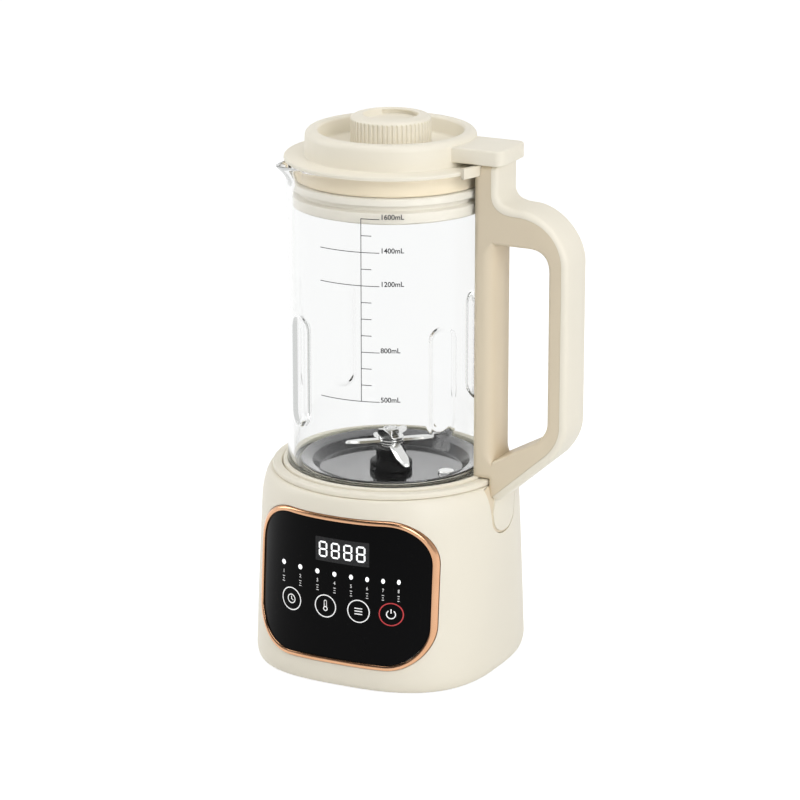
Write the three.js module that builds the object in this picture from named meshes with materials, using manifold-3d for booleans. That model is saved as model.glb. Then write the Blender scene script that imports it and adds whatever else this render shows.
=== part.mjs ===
// A countertop soy milk maker: a motor base, a heated glass jug with a handle, a lid and a filler cap.
// Millimetres, +Z up. The jug's axis is x = y = 0 while the pieces are made, the table is z = 0,
// the control panel faces -Y and the handle is on +X.
import * as THREE from 'three';
import { mergeVertices } from 'three/addons/utils/BufferGeometryUtils.js';
import Module from 'manifold-3d';

const wasm = await Module();
wasm.setup();

// Play and tool sizes
const gap = 0.3;
const slideGap = 0.5;
const overrun = 2;

// Facets round a full turn, by the size of the piece
const wideSteps = 44;
const roundSteps = 36;
const mediumSteps = 24;
const smallSteps = 16;
const footSteps = 12;
const tinySteps = 8;
const arcSteps = 3;
const curveSteps = 8;
const edgeSteps = 2;
const elementSteps = 18;
const elementSideSteps = 4;

// Widths that follow from the glass, from the inside out
const glassRadius = 60.67;
const glassWall = 3.5;
const glassInner = glassRadius - glassWall;
const collarWall = 2.83;
const collarRadius = glassRadius + collarWall;
const seatRingWidth = 6.1;
const seatRingRadius = collarRadius + seatRingWidth;
const baseSideOverhang = 4.3;
const baseHalfWidth = seatRingRadius + baseSideOverhang;
const baseFrontOverhang = 2.8;
const baseHalfDepth = seatRingRadius + baseFrontOverhang;

// Base housing. Its plan runs from a squared oval at the table to a circle at the top.
const squarenessLow = 2.84;
const squarenessHigh = 2.25;
const squarenessRound = 2;
const baseBottom = 0.8;
const baseHeight = 115.2;
const baseTop = baseBottom + baseHeight;
const baseEdgeInset = 3.6;
const baseEdgeRise = 9;
const shoulderDrop = 14;
const shoulderInset = 3.3;
const baseWall = 3;
const baseRimWall = 2.4;
const baseRimRise = 5.2;
const sideLevelShares = [0.5];

// Base underside
const plateThickness = 2.4;
const plateRaise = 2;
const postRadius = 4.6;
const postRibHalfWidth = 1.4;
const postAngles = [45, 135, 270];
const postRise = 30;
const screwRadius = 1.5;
const screwHeadRadius = 3;
const screwHeadHeight = 1.4;
const screwLength = 14;
const footRadius = 8;
const footChamfer = 0.8;
const footInsetX = 31.9;
const footInsetY = 32.4;
const ventCount = 10;
const ventWidth = 5;
const ventInner = 12;
const ventLength = 13;
const rearVentCount = 5;
const rearVentHalfWidth = 21;
const rearVentHeight = 2.6;
const rearVentPitch = 7;
const rearVentDrop = 64;

// Control panel in the front of the base
const panelSideInset = 16.4;
const panelRise = 14.2;
const panelDrop = 11;
const panelCornerRadius = 27;
const bezelWidth = 3.1;
const bezelProud = 1.3;
const panelGlassProud = 0.2;
const panelGlassThickness = 1.5;
const panelRecessDepth = 1.6;
const displayCentreX = 4.5;
const displayHalfWidth = 17;
const displayHeight = 14.5;
const displayDrop = 24.5;
const displayBoardHalfWidth = 40;
const displayBoardHeight = 54;
const displayBoardDrop = 26;
const displayModuleSetback = 3.9;
const displayBoardSetback = 13;
const boardThickness = 1.6;
const boardPostHalf = 3;

// Seat that the jug stands in
const seatRingHeight = 3.3;
const seatRingChamfer = 0.8;
const seatWall = 2.2;
const seatWellDepth = 21.5;
const seatFloorTop = baseTop - seatWellDepth;
const seatFloorThickness = 2.5;
const seatHoleRadius = 18.8;
const seatHoleWall = 2.2;
const seatHoleRise = 1.8;

// Guide notch in the base's side, where the handle's foot slides in
const dockTopHalfWidth = 19;
const dockLowHalfWidth = 15;
const dockDrop = 20;
const dockEndDrop = 11;
const dockDepth = 5.3;
const dockLinerWall = 1.6;

// Coupling between the motor and the blades
const couplingRadius = 14.5;
const couplingRise = 3.5;
const couplingHeight = 14;
const couplingLobes = 4;
const couplingLobeRadius = 9.8;
const couplingLobeHalfWidth = 3.2;
const couplingCoreRadius = 6.4;
const couplingLobeHeight = 8;
const drivenFlangeRadius = 16;
const drivenFlangeHeight = 2.8;

// Motor
const shaftRadius = 4;
const shaftBottom = 6.4;
const shaftShort = 4.5;
const lowerBracketBottom = 14;
const bracketThickness = 6;
const bracketHalfWidth = 11;
const armatureRise = 13;
const armatureRadius = 19.3;
const armatureHeight = 28;
const windingRadius = 16.5;
const windingReach = 4;
const commutatorRadius = 10;
const commutatorLength = 8;
const airGap = 0.7;
const yokeHalfLength = 42;
const yokeHalfDepth = 28;
const yokeWall = 6;
const yokeSideWall = 3;
const poleHalfWidth = 16.5;
const coilInset = 17;
const coilLength = 9;
const coilThickness = 7;
const bearingRadius = 8;
const bearingHeight = 5;
const brushHalfWidth = 4.6;
const brushHeight = 6.5;
const brushLength = 12;
const fanRadius = 32;
const fanHubRadius = 8;
const fanBottom = 6.6;
const fanHeight = 6;
const fanDiscThickness = 1.2;
const fanBladeCount = 9;
const fanBladeThickness = 1.4;
const motorPostRadius = 3.6;

// Power inlet in the rear of the base and the boards inside it
const inletHalfWidth = 13.5;
const inletHalfHeight = 9.8;
const inletCentreZ = 24;
const inletWall = 1.8;
const inletDepth = 18;
const pinHalfWidth = 1;
const pinHalfHeight = 2.4;
const pinSpacing = 7;
const pinOffset = 2;
const pinSetback = 6;
const pinTail = 6;
const powerBoardHalfWidth = 44;
const powerBoardHeight = 48;
const powerBoardDrop = 30;
const powerBoardSetback = 12;
const relaySize = 14;
const capacitorRadius = 6;
const capacitorLength = 12;
const heatSinkHeight = 22;

// Plug and socket between jug and base
const connectorX = 43;
const connectorHalfLength = 7;
const connectorHalfWidth = 11;
const socketTopRise = 1.2;
const socketDepth = 14;
const connectorPinCount = 3;
const connectorPinPitch = 6;
const connectorPinHalf = 1;
const connectorPinLength = 7;

// Collar under the glass
const collarRaise = 2.5;
const collarBottom = seatFloorTop + collarRaise;
const collarHeight = 24;
const collarTop = collarBottom + collarHeight;
const collarChamfer = 0.7;
const collarFloor = 2.5;
const collarHoleRadius = 19;
const collarLedge = 3;
const upstandHalfWidth = 10;
const upstandRise = 19;

// Glass jug
const glassRaise = 12;
const glassBottom = collarBottom + glassRaise;
const glassHeight = 191.6;
const glassRim = glassBottom + glassHeight;
const glassBend = 6;
const glassLipInset = 9.27;
const glassLipRise = 10.6;
const glassLipBlend = 7;
const fluteCount = 4;
const fluteFirstAngle = -124;
const fluteHalfAngle = 8.5;
const fluteDepth = 3.6;
const fluteRaise = 39;
const fluteLength = 67;
const fluteRunOut = 8;
const spoutAngle = -137;
const spoutHalfAngle = 15;
const spoutReach = 8.5;
const spoutHeight = 14;

// Heating plate and what is fixed to it
const heaterRimInset = 7.67;
const heaterRimRadius = glassRadius - heaterRimInset;
const heaterRimRise = 2.7;
const heaterSheet = 1.4;
const heaterRimWidth = 2.6;
const heaterSlopeWidth = 7.4;
const heaterDepth = 8.3;
const elementRadius = 27.5;
const elementTube = 3;
const elementSweep = 300;
const elementPin = 8;
const sensorX = 35;
const sensorY = 2;
const sensorHeadRadius = 5;
const sensorHeadHeight = 1.8;
const sensorStemRadius = 2.6;
const sensorStemLength = 7;

// Blade bearing through the middle of the heating plate
const hubRadius = 12.5;
const hubHeight = 8.2;
const hubChamfer = 1;
const hubNeckRadius = 9.8;
const hubNeckRise = 13;
const hubStemRadius = 9;
const hubStemDrop = 11;
const hubBoreRadius = 6.4;
const sealPocketRadius = 8.2;
const sealPocketDepth = 5;
const hubNutRadius = 15;
const hubNutHeight = 5;
const hubNutSides = 6;

// Blades
const bladeShaftRadius = 4;
const bladeThreadRadius = 3;
const bladeSeatRise = 2;
const bladeSeatRadius = 6.4;
const bladeSeatThickness = 1.4;
const bladeThickness = 1.4;
const bladeHubRadius = 7.4;
const bladeRootHalfWidth = 3.6;
const bladeTipHalfWidth = 1.5;
const bladeShoulderShare = 0.62;
const bladeNutRadius = 5.4;
const bladeNutHeight = 4.4;
const bladeNutSides = 6;
const lowBlade = { heading: -42, reach: 26, tilt: -20, farReach: 26, farTilt: -6 };
const longBlade = { heading: 40, reach: 27.4, tilt: 0, farReach: 27.4, farTilt: 0 };
const highBlade = { heading: 97, reach: 24, tilt: -2, farReach: 18, farTilt: 40 };

// Handle, seen from its side. Reaches go out from the glass, drops go down from the column's top.
const handleHalfWidth = 14;
const handleEdge = 3;
const columnDepth = 10.83;
const columnOuter = glassRadius + columnDepth;
const columnRise = 5.1;
const columnTop = glassRim + columnRise;
const neckProud = 2.6;
const neckOuter = columnOuter + neckProud;
const neckDrop = 15.7;
const armReach = 12.7;
const armDrop = 23.9;
const gripReach = 46.5;
const gripOuter = columnOuter + gripReach;
const gripDrop = 55.7;
const gripTop = columnTop - gripDrop;
const gripRise = 42;
const gripBottom = baseTop + gripRise;
const gripLowInset = 9;
const gripLowDrop = 21;
const heelReach = 4.8;
const heelDrop = 7.8;
const heelSlope = 1.5;
const gripThickness = 12;
const holeTopRise = 10;
const holeTopRadius = 13;
const holeBottomInset = 8;
const holeBottomDrop = 12.6;
const holeCornerDrop = 14.4;
const shellSplit = 4;

// Clip on the column's ledge that reaches round the lid's flange, and the lid switch
const clipHalfAngle = 25;
const clipThickness = 2.5;
const clipDrop = 1.2;
const clipHeight = 6;
const switchLength = 14;
const switchHalf = 1.6;
const switchDepth = 4;
const switchReach = 6.83;
const switchX = glassRadius + switchReach;

// Lid
const lidFlangeOverhang = 1.03;
const lidFlangeRadius = glassRadius + lidFlangeOverhang;
const lidFlangeThickness = 2.2;
const lidBandPlay = 0.57;
const lidBandDrop = 10.8;
const lidPlugPlay = 4.67;
const lidPlugRadius = glassInner - lidPlugPlay;
const lidPlugDrop = 26.6;
const lidWall = 2.4;
const turretStep = 12.1;
const turretRadius = lidFlangeRadius - turretStep;
const turretRise = 17.7;
const turretTop = glassRim + turretRise;
const turretRimWidth = 7.7;
const turretOpening = turretRadius - turretRimWidth;
const turretRound = 4;
const turretInnerRound = 2;
const wellDepth = 10.3;
const wellFloor = turretTop - wellDepth;
const throatRadius = 18.5;
const throatLength = 26;
const tabReach = 6.5;
const tabHalfWidth = 17;
const tabThickness = 9;
const tabCorner = 5;
const magnetRadius = 4;
const magnetHeight = 3;

// Silicone seal on the lid's plug
const sealPlay = 0.37;
const sealLipRadius = glassInner - sealPlay;
const sealWaist = 2.2;
const sealDrop = 10.8;
const sealUpperHeight = 4.4;
const sealGroove = 3.9;
const sealLowerHeight = 6.5;

// Filler cap
const knobRadius = 23.3;
const knobRibHeight = 15.6;
const knobShoulder = 2.6;
const knobRimRadius = 17.6;
const knobRecessRadius = 16;
const knobRecessDepth = 4;
const knobRibs = 30;
const knobRibDepth = 0.7;
const knobWall = 2.2;
const knobSlotHalfWidth = 7;
const knobSlotHeight = 1.6;
const plugRadius = 16.4;
const plugLength = 25;
const plugFlangeRadius = 20.6;
const plugFlangeHeight = 2;
const plugWall = 2;
const plugPegRadius = 4;
const plugPegShort = 6.9;
const plugVentRadius = 2.2;
const capSealRadius = 18.2;
const capSealHeight = 4;
const capSealDrop = 8;

const looks = {
  cream: { color: 0xeeeade, roughness: 0.42, metalness: 0 },
  beige: { color: 0xd9ceb4, roughness: 0.48, metalness: 0 },
  ivory: { color: 0xf2efe2, roughness: 0.5, metalness: 0 },
  dark: { color: 0x2a2b2d, roughness: 0.5, metalness: 0 },
  panel: { color: 0x08080a, roughness: 0.06, metalness: 0 },
  rose: { color: 0xd9a07c, roughness: 0.24, metalness: 1 },
  display: { color: 0x1d1e20, roughness: 0.3, metalness: 0 },
  glass: { color: 0xf4f8f6, roughness: 0.03, metalness: 0, transparent: true, opacity: 0.25 },
  plate: { color: 0x35373a, roughness: 0.35, metalness: 0.3 },
  steel: { color: 0xc9cbcc, roughness: 0.22, metalness: 1 },
  silicone: { color: 0xf6f5ec, roughness: 0.6, metalness: 0 },
  rubber: { color: 0x6d6d6b, roughness: 0.85, metalness: 0 },
  iron: { color: 0x7d8083, roughness: 0.5, metalness: 0.9 },
  copper: { color: 0xb5693a, roughness: 0.4, metalness: 0.9 },
  board: { color: 0x2c6a43, roughness: 0.6, metalness: 0 },
};

const degrees = Math.PI / 180;
const axisX = new THREE.Vector3(1, 0, 0);
const axisY = new THREE.Vector3(0, 1, 0);
const axisZ = new THREE.Vector3(0, 0, 1);

// Plain solids

function solid(geometry) {
  geometry.deleteAttribute('normal');
  geometry.deleteAttribute('uv');
  const merged = mergeVertices(geometry);
  const corners = merged.index.array;
  const triVerts = [];
  for (let i = 0; i < corners.length; i += 3) {
    const [a, b, c] = corners.slice(i, i + 3);
    // A triangle that closed up on the axis is left out.
    if (a !== b && b !== c && c !== a) triVerts.push(a, b, c);
  }
  const mesh = new wasm.Mesh({
    numProp: 3,
    vertProperties: new Float32Array(merged.attributes.position.array),
    triVerts: Uint32Array.from(triVerts),
  });
  return new wasm.Manifold(mesh);
}

function area(points) {
  let sum = 0;
  points.forEach(([x, y], i) => {
    const [nextX, nextY] = points[(i + 1) % points.length];
    sum += x * nextY - nextX * y;
  });
  return sum / 2;
}

// A closed profile of [radius, z] points turned about Z, each vertex then moved by the bend function.
function turned(profile, steps, bend, firstAngle = 0) {
  const ordered = area(profile) > 0 ? profile : [...profile].reverse();
  const points = [...ordered, ordered[0]].map(([radius, z]) => new THREE.Vector2(radius, z));
  const geometry = new THREE.LatheGeometry(points, steps);
  geometry.rotateX(90 * degrees);
  geometry.rotateZ(firstAngle * degrees);
  if (bend) {
    const place = geometry.attributes.position;
    for (let i = 0; i < place.count; i++) {
      const radius = Math.hypot(place.getX(i), place.getY(i));
      if (radius < gap) continue;
      const angle = Math.atan2(place.getY(i), place.getX(i));
      const bent = bend(radius, angle, place.getZ(i));
      place.setX(i, bent * Math.cos(angle));
      place.setY(i, bent * Math.sin(angle));
    }
  }
  return solid(geometry);
}

function disc(radius, bottom, top, steps = mediumSteps) {
  return turned([[0, bottom], [radius, bottom], [radius, top], [0, top]], steps);
}

function ring(inner, outer, bottom, top, steps = mediumSteps) {
  return turned([[inner, bottom], [outer, bottom], [outer, top], [inner, top]], steps);
}

function block(x0, x1, y0, y1, z0, z1) {
  const geometry = new THREE.BoxGeometry(x1 - x0, y1 - y0, z1 - z0);
  geometry.translate((x0 + x1) / 2, (y0 + y1) / 2, (z0 + z1) / 2);
  return solid(geometry);
}

function moved(shape, x, y, z) {
  const geometry = geometryOf(shape);
  geometry.translate(x, y, z);
  return solid(geometry);
}

function turnedAbout(shape, angle) {
  const geometry = geometryOf(shape);
  geometry.rotateZ(angle * degrees);
  return solid(geometry);
}

// Extrusions: a shape drawn in x and y goes up Z, one drawn in x and z goes along Y,
// and one drawn in y and z goes along X.
function plainPrism(shape, low, high) {
  const form = { depth: high - low, bevelEnabled: false, curveSegments: arcSteps };
  const geometry = new THREE.ExtrudeGeometry(shape, form);
  geometry.translate(0, 0, low);
  return geometry;
}

function prismZ(shape, bottom, top) {
  return solid(plainPrism(shape, bottom, top));
}

function prismY(shape, low, high, edge = 0, curveSegments = arcSteps) {
  const geometry = new THREE.ExtrudeGeometry(shape, {
    depth: high - low - 2 * edge,
    curveSegments,
    bevelEnabled: edge > 0,
    bevelSize: edge,
    bevelThickness: edge,
    bevelOffset: -edge,
    bevelSegments: edgeSteps,
  });
  geometry.translate(0, 0, -high + edge);
  geometry.applyMatrix4(new THREE.Matrix4().makeBasis(axisX, axisZ, axisY.clone().negate()));
  return solid(geometry);
}

function prismX(shape, low, high) {
  const geometry = plainPrism(shape, low, high);
  geometry.applyMatrix4(new THREE.Matrix4().makeBasis(axisY, axisZ, axisX));
  return solid(geometry);
}

function polygon(points) {
  return new THREE.Shape(points.map(([x, y]) => new THREE.Vector2(x, y)));
}

function roundedRectangle(x0, x1, y0, y1, radius) {
  const shape = new THREE.Shape();
  shape.absarc(x1 - radius, y1 - radius, radius, 0, 90 * degrees);
  shape.absarc(x0 + radius, y1 - radius, radius, 90 * degrees, 180 * degrees);
  shape.absarc(x0 + radius, y0 + radius, radius, 180 * degrees, 270 * degrees);
  shape.absarc(x1 - radius, y0 + radius, radius, 270 * degrees, 360 * degrees);
  return shape;
}

function joined(...shapes) {
  return shapes.reduce((sum, shape) => sum.add(shape));
}

function geometryOf(shape) {
  const mesh = shape.getMesh();
  const geometry = new THREE.BufferGeometry();
  geometry.setAttribute('position', new THREE.BufferAttribute(new Float32Array(mesh.vertProperties), 3));
  geometry.setIndex(new THREE.BufferAttribute(new Uint32Array(mesh.triVerts), 1));
  return geometry;
}

const model = new THREE.Group();

function part(name, look, shape) {
  const geometry = geometryOf(shape);
  geometry.computeVertexNormals();
  const mesh = new THREE.Mesh(geometry, new THREE.MeshStandardMaterial(looks[look]));
  mesh.name = name;
  model.add(mesh);
}

// Quarter circle from one [radius, z] point to another, bulging towards the given corner.
function quarter(from, to, corner) {
  const points = [];
  for (let i = 0; i <= arcSteps; i++) {
    const turn = (i / arcSteps) * 90 * degrees;
    const along = Math.sin(turn);
    const back = 1 - Math.cos(turn);
    points.push([
      from[0] + (corner[0] - from[0]) * along + (to[0] - corner[0]) * back,
      from[1] + (corner[1] - from[1]) * along + (to[1] - corner[1]) * back,
    ]);
  }
  return points;
}

// Base housing: the plan is a superellipse whose exponent falls with height

function squarenessAt(z) {
  const low = baseBottom + baseEdgeRise;
  const high = baseTop - shoulderDrop;
  if (z <= low) return squarenessLow;
  if (z <= high) return THREE.MathUtils.mapLinear(z, low, high, squarenessLow, squarenessHigh);
  const rise = Math.min(1, (z - high) / shoulderDrop);
  return THREE.MathUtils.lerp(squarenessHigh, squarenessRound, rise);
}

// Turns a half-width into the radius of the housing's plan in one direction.
function housingBend(radius, angle, z) {
  const power = squarenessAt(z);
  const rise = THREE.MathUtils.clamp((z - baseTop + shoulderDrop) / shoulderDrop, 0, 1);
  const depthShare = THREE.MathUtils.lerp(baseHalfDepth / baseHalfWidth, 1, rise ** 2);
  const across = Math.abs(Math.cos(angle)) ** power;
  const deep = (Math.abs(Math.sin(angle)) / depthShare) ** power;
  return radius * (across + deep) ** (-1 / power);
}

// Half-widths of the outer side from the bottom edge to the top edge, as [half-width, z].
function housingSide() {
  const bottomEdge = quarter(
    [baseHalfWidth - baseEdgeInset, baseBottom],
    [baseHalfWidth, baseBottom + baseEdgeRise],
    [baseHalfWidth, baseBottom],
  );
  const low = baseBottom + baseEdgeRise;
  const high = baseTop - shoulderDrop;
  const side = sideLevelShares.map((share) => [baseHalfWidth, low + (high - low) * share]);
  const shoulder = quarter(
    [baseHalfWidth, high],
    [baseHalfWidth - shoulderInset, baseTop],
    [baseHalfWidth, baseTop],
  );
  return [...bottomEdge, ...side, ...shoulder];
}

function housing(outset) {
  const side = housingSide().map(([halfWidth, z]) => [halfWidth + outset, z]);
  return turned([[0, baseBottom], ...side, [0, baseTop]], wideSteps, housingBend);
}

// A skin that follows the housing's side between two outsets.
function housingSkin(inner, outer) {
  const side = housingSide();
  const outside = side.map(([halfWidth, z]) => [halfWidth + outer, z]);
  const inside = side.map(([halfWidth, z]) => [halfWidth + inner, z]).reverse();
  return turned([...outside, ...inside], wideSteps, housingBend);
}

const panelHalfWidth = baseHalfWidth - panelSideInset;
const panelBottom = baseBottom + panelRise;
const panelTop = baseTop - panelDrop;
const displayTop = baseTop - displayDrop;
const displayBottom = displayTop - displayHeight;
const dockLowZ = baseTop - dockDrop;
const dockBottomZ = dockLowZ - dockEndDrop;
const innerHalfWidth = baseHalfWidth - baseWall;
const rimHalfWidth = baseHalfWidth - baseEdgeInset - baseRimWall;
const plateBottom = baseBottom + plateRaise;
const plateTop = plateBottom + plateThickness;
const innerTop = baseTop - baseWall;

function housingHollow() {
  const rimTop = baseBottom + baseRimRise;
  const profile = [
    [0, baseBottom - overrun],
    [rimHalfWidth, baseBottom - overrun],
    [rimHalfWidth, rimTop],
    [innerHalfWidth, rimTop + baseWall],
    [innerHalfWidth, baseTop - shoulderDrop],
    [innerHalfWidth - shoulderInset, innerTop],
    [0, innerTop],
  ];
  return turned(profile, wideSteps, housingBend);
}

// Distance from the axis to each screw post, just inside the rim that the bottom plate fits in
function postReach(angle) {
  return housingBend(rimHalfWidth, angle * degrees, plateTop) - screwHeadRadius - 2 * gap;
}

const postCentres = postAngles.map((angle) => {
  const reach = postReach(angle);
  return [reach * Math.cos(angle * degrees), reach * Math.sin(angle * degrees)];
});

const panelOuter = [-panelHalfWidth, panelHalfWidth, panelBottom, panelTop];

function panelOutline(inset) {
  const [x0, x1, z0, z1] = panelOuter;
  return roundedRectangle(x0 + inset, x1 - inset, z0 + inset, z1 - inset, panelCornerRadius - inset);
}

function panelPrism(inset) {
  return prismY(panelOutline(inset), -baseHalfDepth - bezelProud - overrun, 0);
}

const displayX0 = displayCentreX - displayHalfWidth;
const displayX1 = displayCentreX + displayHalfWidth;

// The notch's outline in y and z; play moves it inwards for the handle's foot.
function dockOutline(play, top) {
  const slope = (dockTopHalfWidth - dockLowHalfWidth) / (baseTop - dockLowZ);
  const halfWidthAtTop = dockTopHalfWidth + (top - baseTop) * slope - play;
  const low = dockLowHalfWidth - play;
  const shape = new THREE.Shape();
  shape.moveTo(halfWidthAtTop, top);
  shape.lineTo(-halfWidthAtTop, top);
  shape.lineTo(-low, dockLowZ);
  shape.absellipse(0, dockLowZ, low, dockLowZ - dockBottomZ - play, 180 * degrees, 360 * degrees);
  return shape;
}

const dockBack = baseHalfWidth - dockDepth;
const seatWellRadius = collarRadius + slideGap;
const seatWallRadius = seatWellRadius + seatWall;
const seatBottom = seatFloorTop - seatFloorThickness;
const ringBottom = baseTop + gap;
const ringTop = ringBottom + seatRingHeight;
const inletMouth = baseHalfDepth - gap;
const displayBoardFront = displayBoardSetback - baseHalfDepth;
const displayBoardTop = baseTop - displayBoardDrop;
const displayBoardBottom = displayBoardTop - displayBoardHeight;
const powerBoardBack = baseHalfDepth - baseWall - powerBoardSetback;
const powerBoardTop = baseTop - powerBoardDrop;
const powerBoardBottom = powerBoardTop - powerBoardHeight;

function baseShell() {
  let shell = housing(0).subtract(housingHollow());
  const wall = housing(0);
  postAngles.forEach((angle) => {
    const reach = postReach(angle);
    const bottom = plateTop + gap;
    const top = plateTop + postRise;
    const post = moved(disc(postRadius, bottom, top, footSteps), reach, 0, 0);
    const rib = block(reach, reach + 2 * postRadius, -postRibHalfWidth, postRibHalfWidth, bottom, top);
    const hole = disc(screwRadius + gap, bottom - overrun, plateTop + screwLength + gap, tinySteps);
    const drilled = post.add(rib).subtract(moved(hole, reach, 0, 0));
    shell = shell.add(turnedAbout(drilled, angle).intersect(wall));
  });
  shell = shell.subtract(disc(seatWallRadius + gap, innerTop - overrun, baseTop + overrun, roundSteps));
  const recess = housingSkin(-panelRecessDepth, overrun).intersect(panelPrism(-gap));
  shell = shell.subtract(recess);
  const window = block(
    displayX0 - gap,
    displayX1 + gap,
    -baseHalfDepth,
    -baseHalfDepth / 2,
    displayBottom - gap,
    displayTop + gap,
  );
  shell = shell.subtract(window);
  shell = shell.subtract(prismX(dockOutline(0, baseTop + overrun), dockBack, baseHalfWidth + overrun));
  const inletHole = roundedRectangle(
    -inletHalfWidth - gap,
    inletHalfWidth + gap,
    inletCentreZ - inletHalfHeight - gap,
    inletCentreZ + inletHalfHeight + gap,
    inletWall,
  );
  shell = shell.subtract(prismY(inletHole, baseHalfDepth / 2, baseHalfDepth + overrun));
  for (let i = 0; i < rearVentCount; i++) {
    const z = baseTop - rearVentDrop + i * rearVentPitch;
    const y1 = baseHalfDepth + overrun;
    shell = shell.subtract(block(-rearVentHalfWidth, rearVentHalfWidth, y1 / 2, y1, z, z + rearVentHeight));
  }
  const front = displayBoardFront - gap;
  const back = powerBoardBack + gap;
  return joined(
    shell,
    boardPosts(displayBoardHalfWidth, displayBoardBottom, displayBoardTop, -baseHalfDepth, front),
    boardPosts(powerBoardHalfWidth, powerBoardBottom, powerBoardTop, back, baseHalfDepth),
  );
}

// Stand-offs between the housing's wall and a board, one for each of the board's corners
function boardPosts(halfWidth, bottom, top, y0, y1) {
  const half = boardPostHalf;
  const reach = halfWidth - half;
  const posts = [-reach, reach].flatMap((x) => [bottom + half, top - half].map((z) => (
    block(x - half, x + half, y0, y1, z - half, z + half)
  )));
  return joined(...posts).intersect(housing(-panelRecessDepth - gap));
}

function bottomPlate() {
  const profile = [
    [0, plateBottom],
    [rimHalfWidth - gap, plateBottom],
    [rimHalfWidth - gap, plateTop],
    [0, plateTop],
  ];
  let plate = turned(profile, wideSteps, housingBend);
  const slot = block(
    ventInner,
    ventInner + ventLength,
    -ventWidth / 2,
    ventWidth / 2,
    plateBottom - overrun,
    plateTop + overrun,
  );
  for (let i = 0; i < ventCount; i++) {
    plate = plate.subtract(turnedAbout(slot, (i * 360) / ventCount));
  }
  postCentres.forEach(([x, y]) => {
    plate = plate.subtract(moved(disc(screwRadius + gap, 0, plateTop + overrun, tinySteps), x, y, 0));
  });
  [-1, 1].forEach((side) => {
    const post = disc(motorPostRadius, plateTop - plateThickness / 2, lowerBracketBottom - gap, tinySteps);
    plate = plate.add(moved(post, side * (yokeHalfLength - yokeWall / 2), 0, 0));
  });
  return plate;
}

part('base_shell', 'cream', baseShell());
part('bottom_plate', 'dark', bottomPlate());

postCentres.forEach(([x, y], i) => {
  const head = disc(screwHeadRadius, plateBottom - gap - screwHeadHeight, plateBottom - gap, tinySteps);
  const shank = disc(screwRadius, plateBottom - gap - screwHeadHeight / 2, plateTop + screwLength, tinySteps);
  part(`base_screw_${i + 1}`, 'steel', moved(head.add(shank), x, y, 0));
});

const footX = baseHalfWidth - footInsetX;
const footY = baseHalfDepth - footInsetY;
[[1, 1], [-1, 1], [-1, -1], [1, -1]].forEach(([sideX, sideY], i) => {
  const profile = [
    [0, 0],
    [footRadius - footChamfer, 0],
    [footRadius, footChamfer],
    [footRadius, plateBottom - gap],
    [0, plateBottom - gap],
  ];
  const foot = moved(turned(profile, footSteps), sideX * footX, sideY * footY, 0);
  part(`foot_${i + 1}`, 'rubber', foot);
});

// Control panel

const panelSeat = panelGlassProud - panelGlassThickness;
const panelGlass = housingSkin(panelSeat, panelGlassProud).intersect(panelPrism(bezelWidth + gap));
const bezel = housingSkin(panelSeat, bezelProud).intersect(panelPrism(0)).subtract(panelPrism(bezelWidth));
part('panel_glass', 'panel', panelGlass);
part('bezel_ring', 'rose', bezel);

const moduleFront = displayModuleSetback - baseHalfDepth;
const moduleBack = displayBoardFront + boardThickness / 2;
part('display_board', 'board', joined(
  block(
    -displayBoardHalfWidth,
    displayBoardHalfWidth,
    displayBoardFront,
    displayBoardFront + boardThickness,
    displayBoardBottom,
    displayBoardTop,
  ),
  block(displayX0, displayX1, moduleFront, moduleBack, displayBottom, displayTop),
));

// Jug seat and guide

function jugSeat() {
  const profile = [
    [seatRingRadius, ringBottom],
    [seatRingRadius, ringTop - seatRingChamfer],
    [seatRingRadius - seatRingChamfer, ringTop],
    [seatWellRadius + seatRingChamfer, ringTop],
    [seatWellRadius, ringTop - seatRingChamfer],
    [seatWellRadius, seatFloorTop],
    [seatHoleRadius + seatHoleWall, seatFloorTop],
    [seatHoleRadius + seatHoleWall, seatFloorTop + seatHoleRise],
    [seatHoleRadius, seatFloorTop + seatHoleRise],
    [seatHoleRadius, seatBottom],
    [seatWallRadius, seatBottom],
    [seatWallRadius, ringBottom],
  ];
  const hole = block(
    connectorX - connectorHalfLength - gap,
    connectorX + connectorHalfLength + gap,
    -connectorHalfWidth - gap,
    connectorHalfWidth + gap,
    seatBottom - overrun,
    seatFloorTop + overrun,
  );
  // The ring is flat behind the handle, so that the handle's foot can pass it.
  const flat = block(
    dockBack,
    seatRingRadius + overrun,
    -seatRingRadius,
    seatRingRadius,
    ringBottom - gap,
    ringTop + overrun,
  );
  return turned(profile, roundSteps).subtract(hole).subtract(flat);
}

part('jug_seat', 'cream', jugSeat());

function dockLiner() {
  const front = innerHalfWidth - gap;
  const outside = prismX(dockOutline(-dockLinerWall, innerTop - gap), dockBack - dockLinerWall, front);
  const inside = prismX(dockOutline(0, innerTop + overrun), dockBack, front + overrun);
  const clear = disc(seatWallRadius + gap, seatBottom - gap, baseTop, roundSteps);
  return outside.subtract(inside).subtract(clear).intersect(housingHollow());
}

part('dock_liner', 'cream', dockLiner());

// Motor

const lowerBracketTop = lowerBracketBottom + bracketThickness;
const armatureBottom = lowerBracketTop + armatureRise;
const armatureTop = armatureBottom + armatureHeight;
const upperBracketBottom = armatureTop + armatureRise;
const yokeBottom = armatureBottom - airGap;
const yokeTop = armatureTop + airGap;
const boreRadius = armatureRadius + airGap;
const windowHalfDepth = yokeHalfDepth - yokeSideWall;
const coilInnerHalf = poleHalfWidth + gap;
const coilReachZ = coilThickness + gap;

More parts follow.
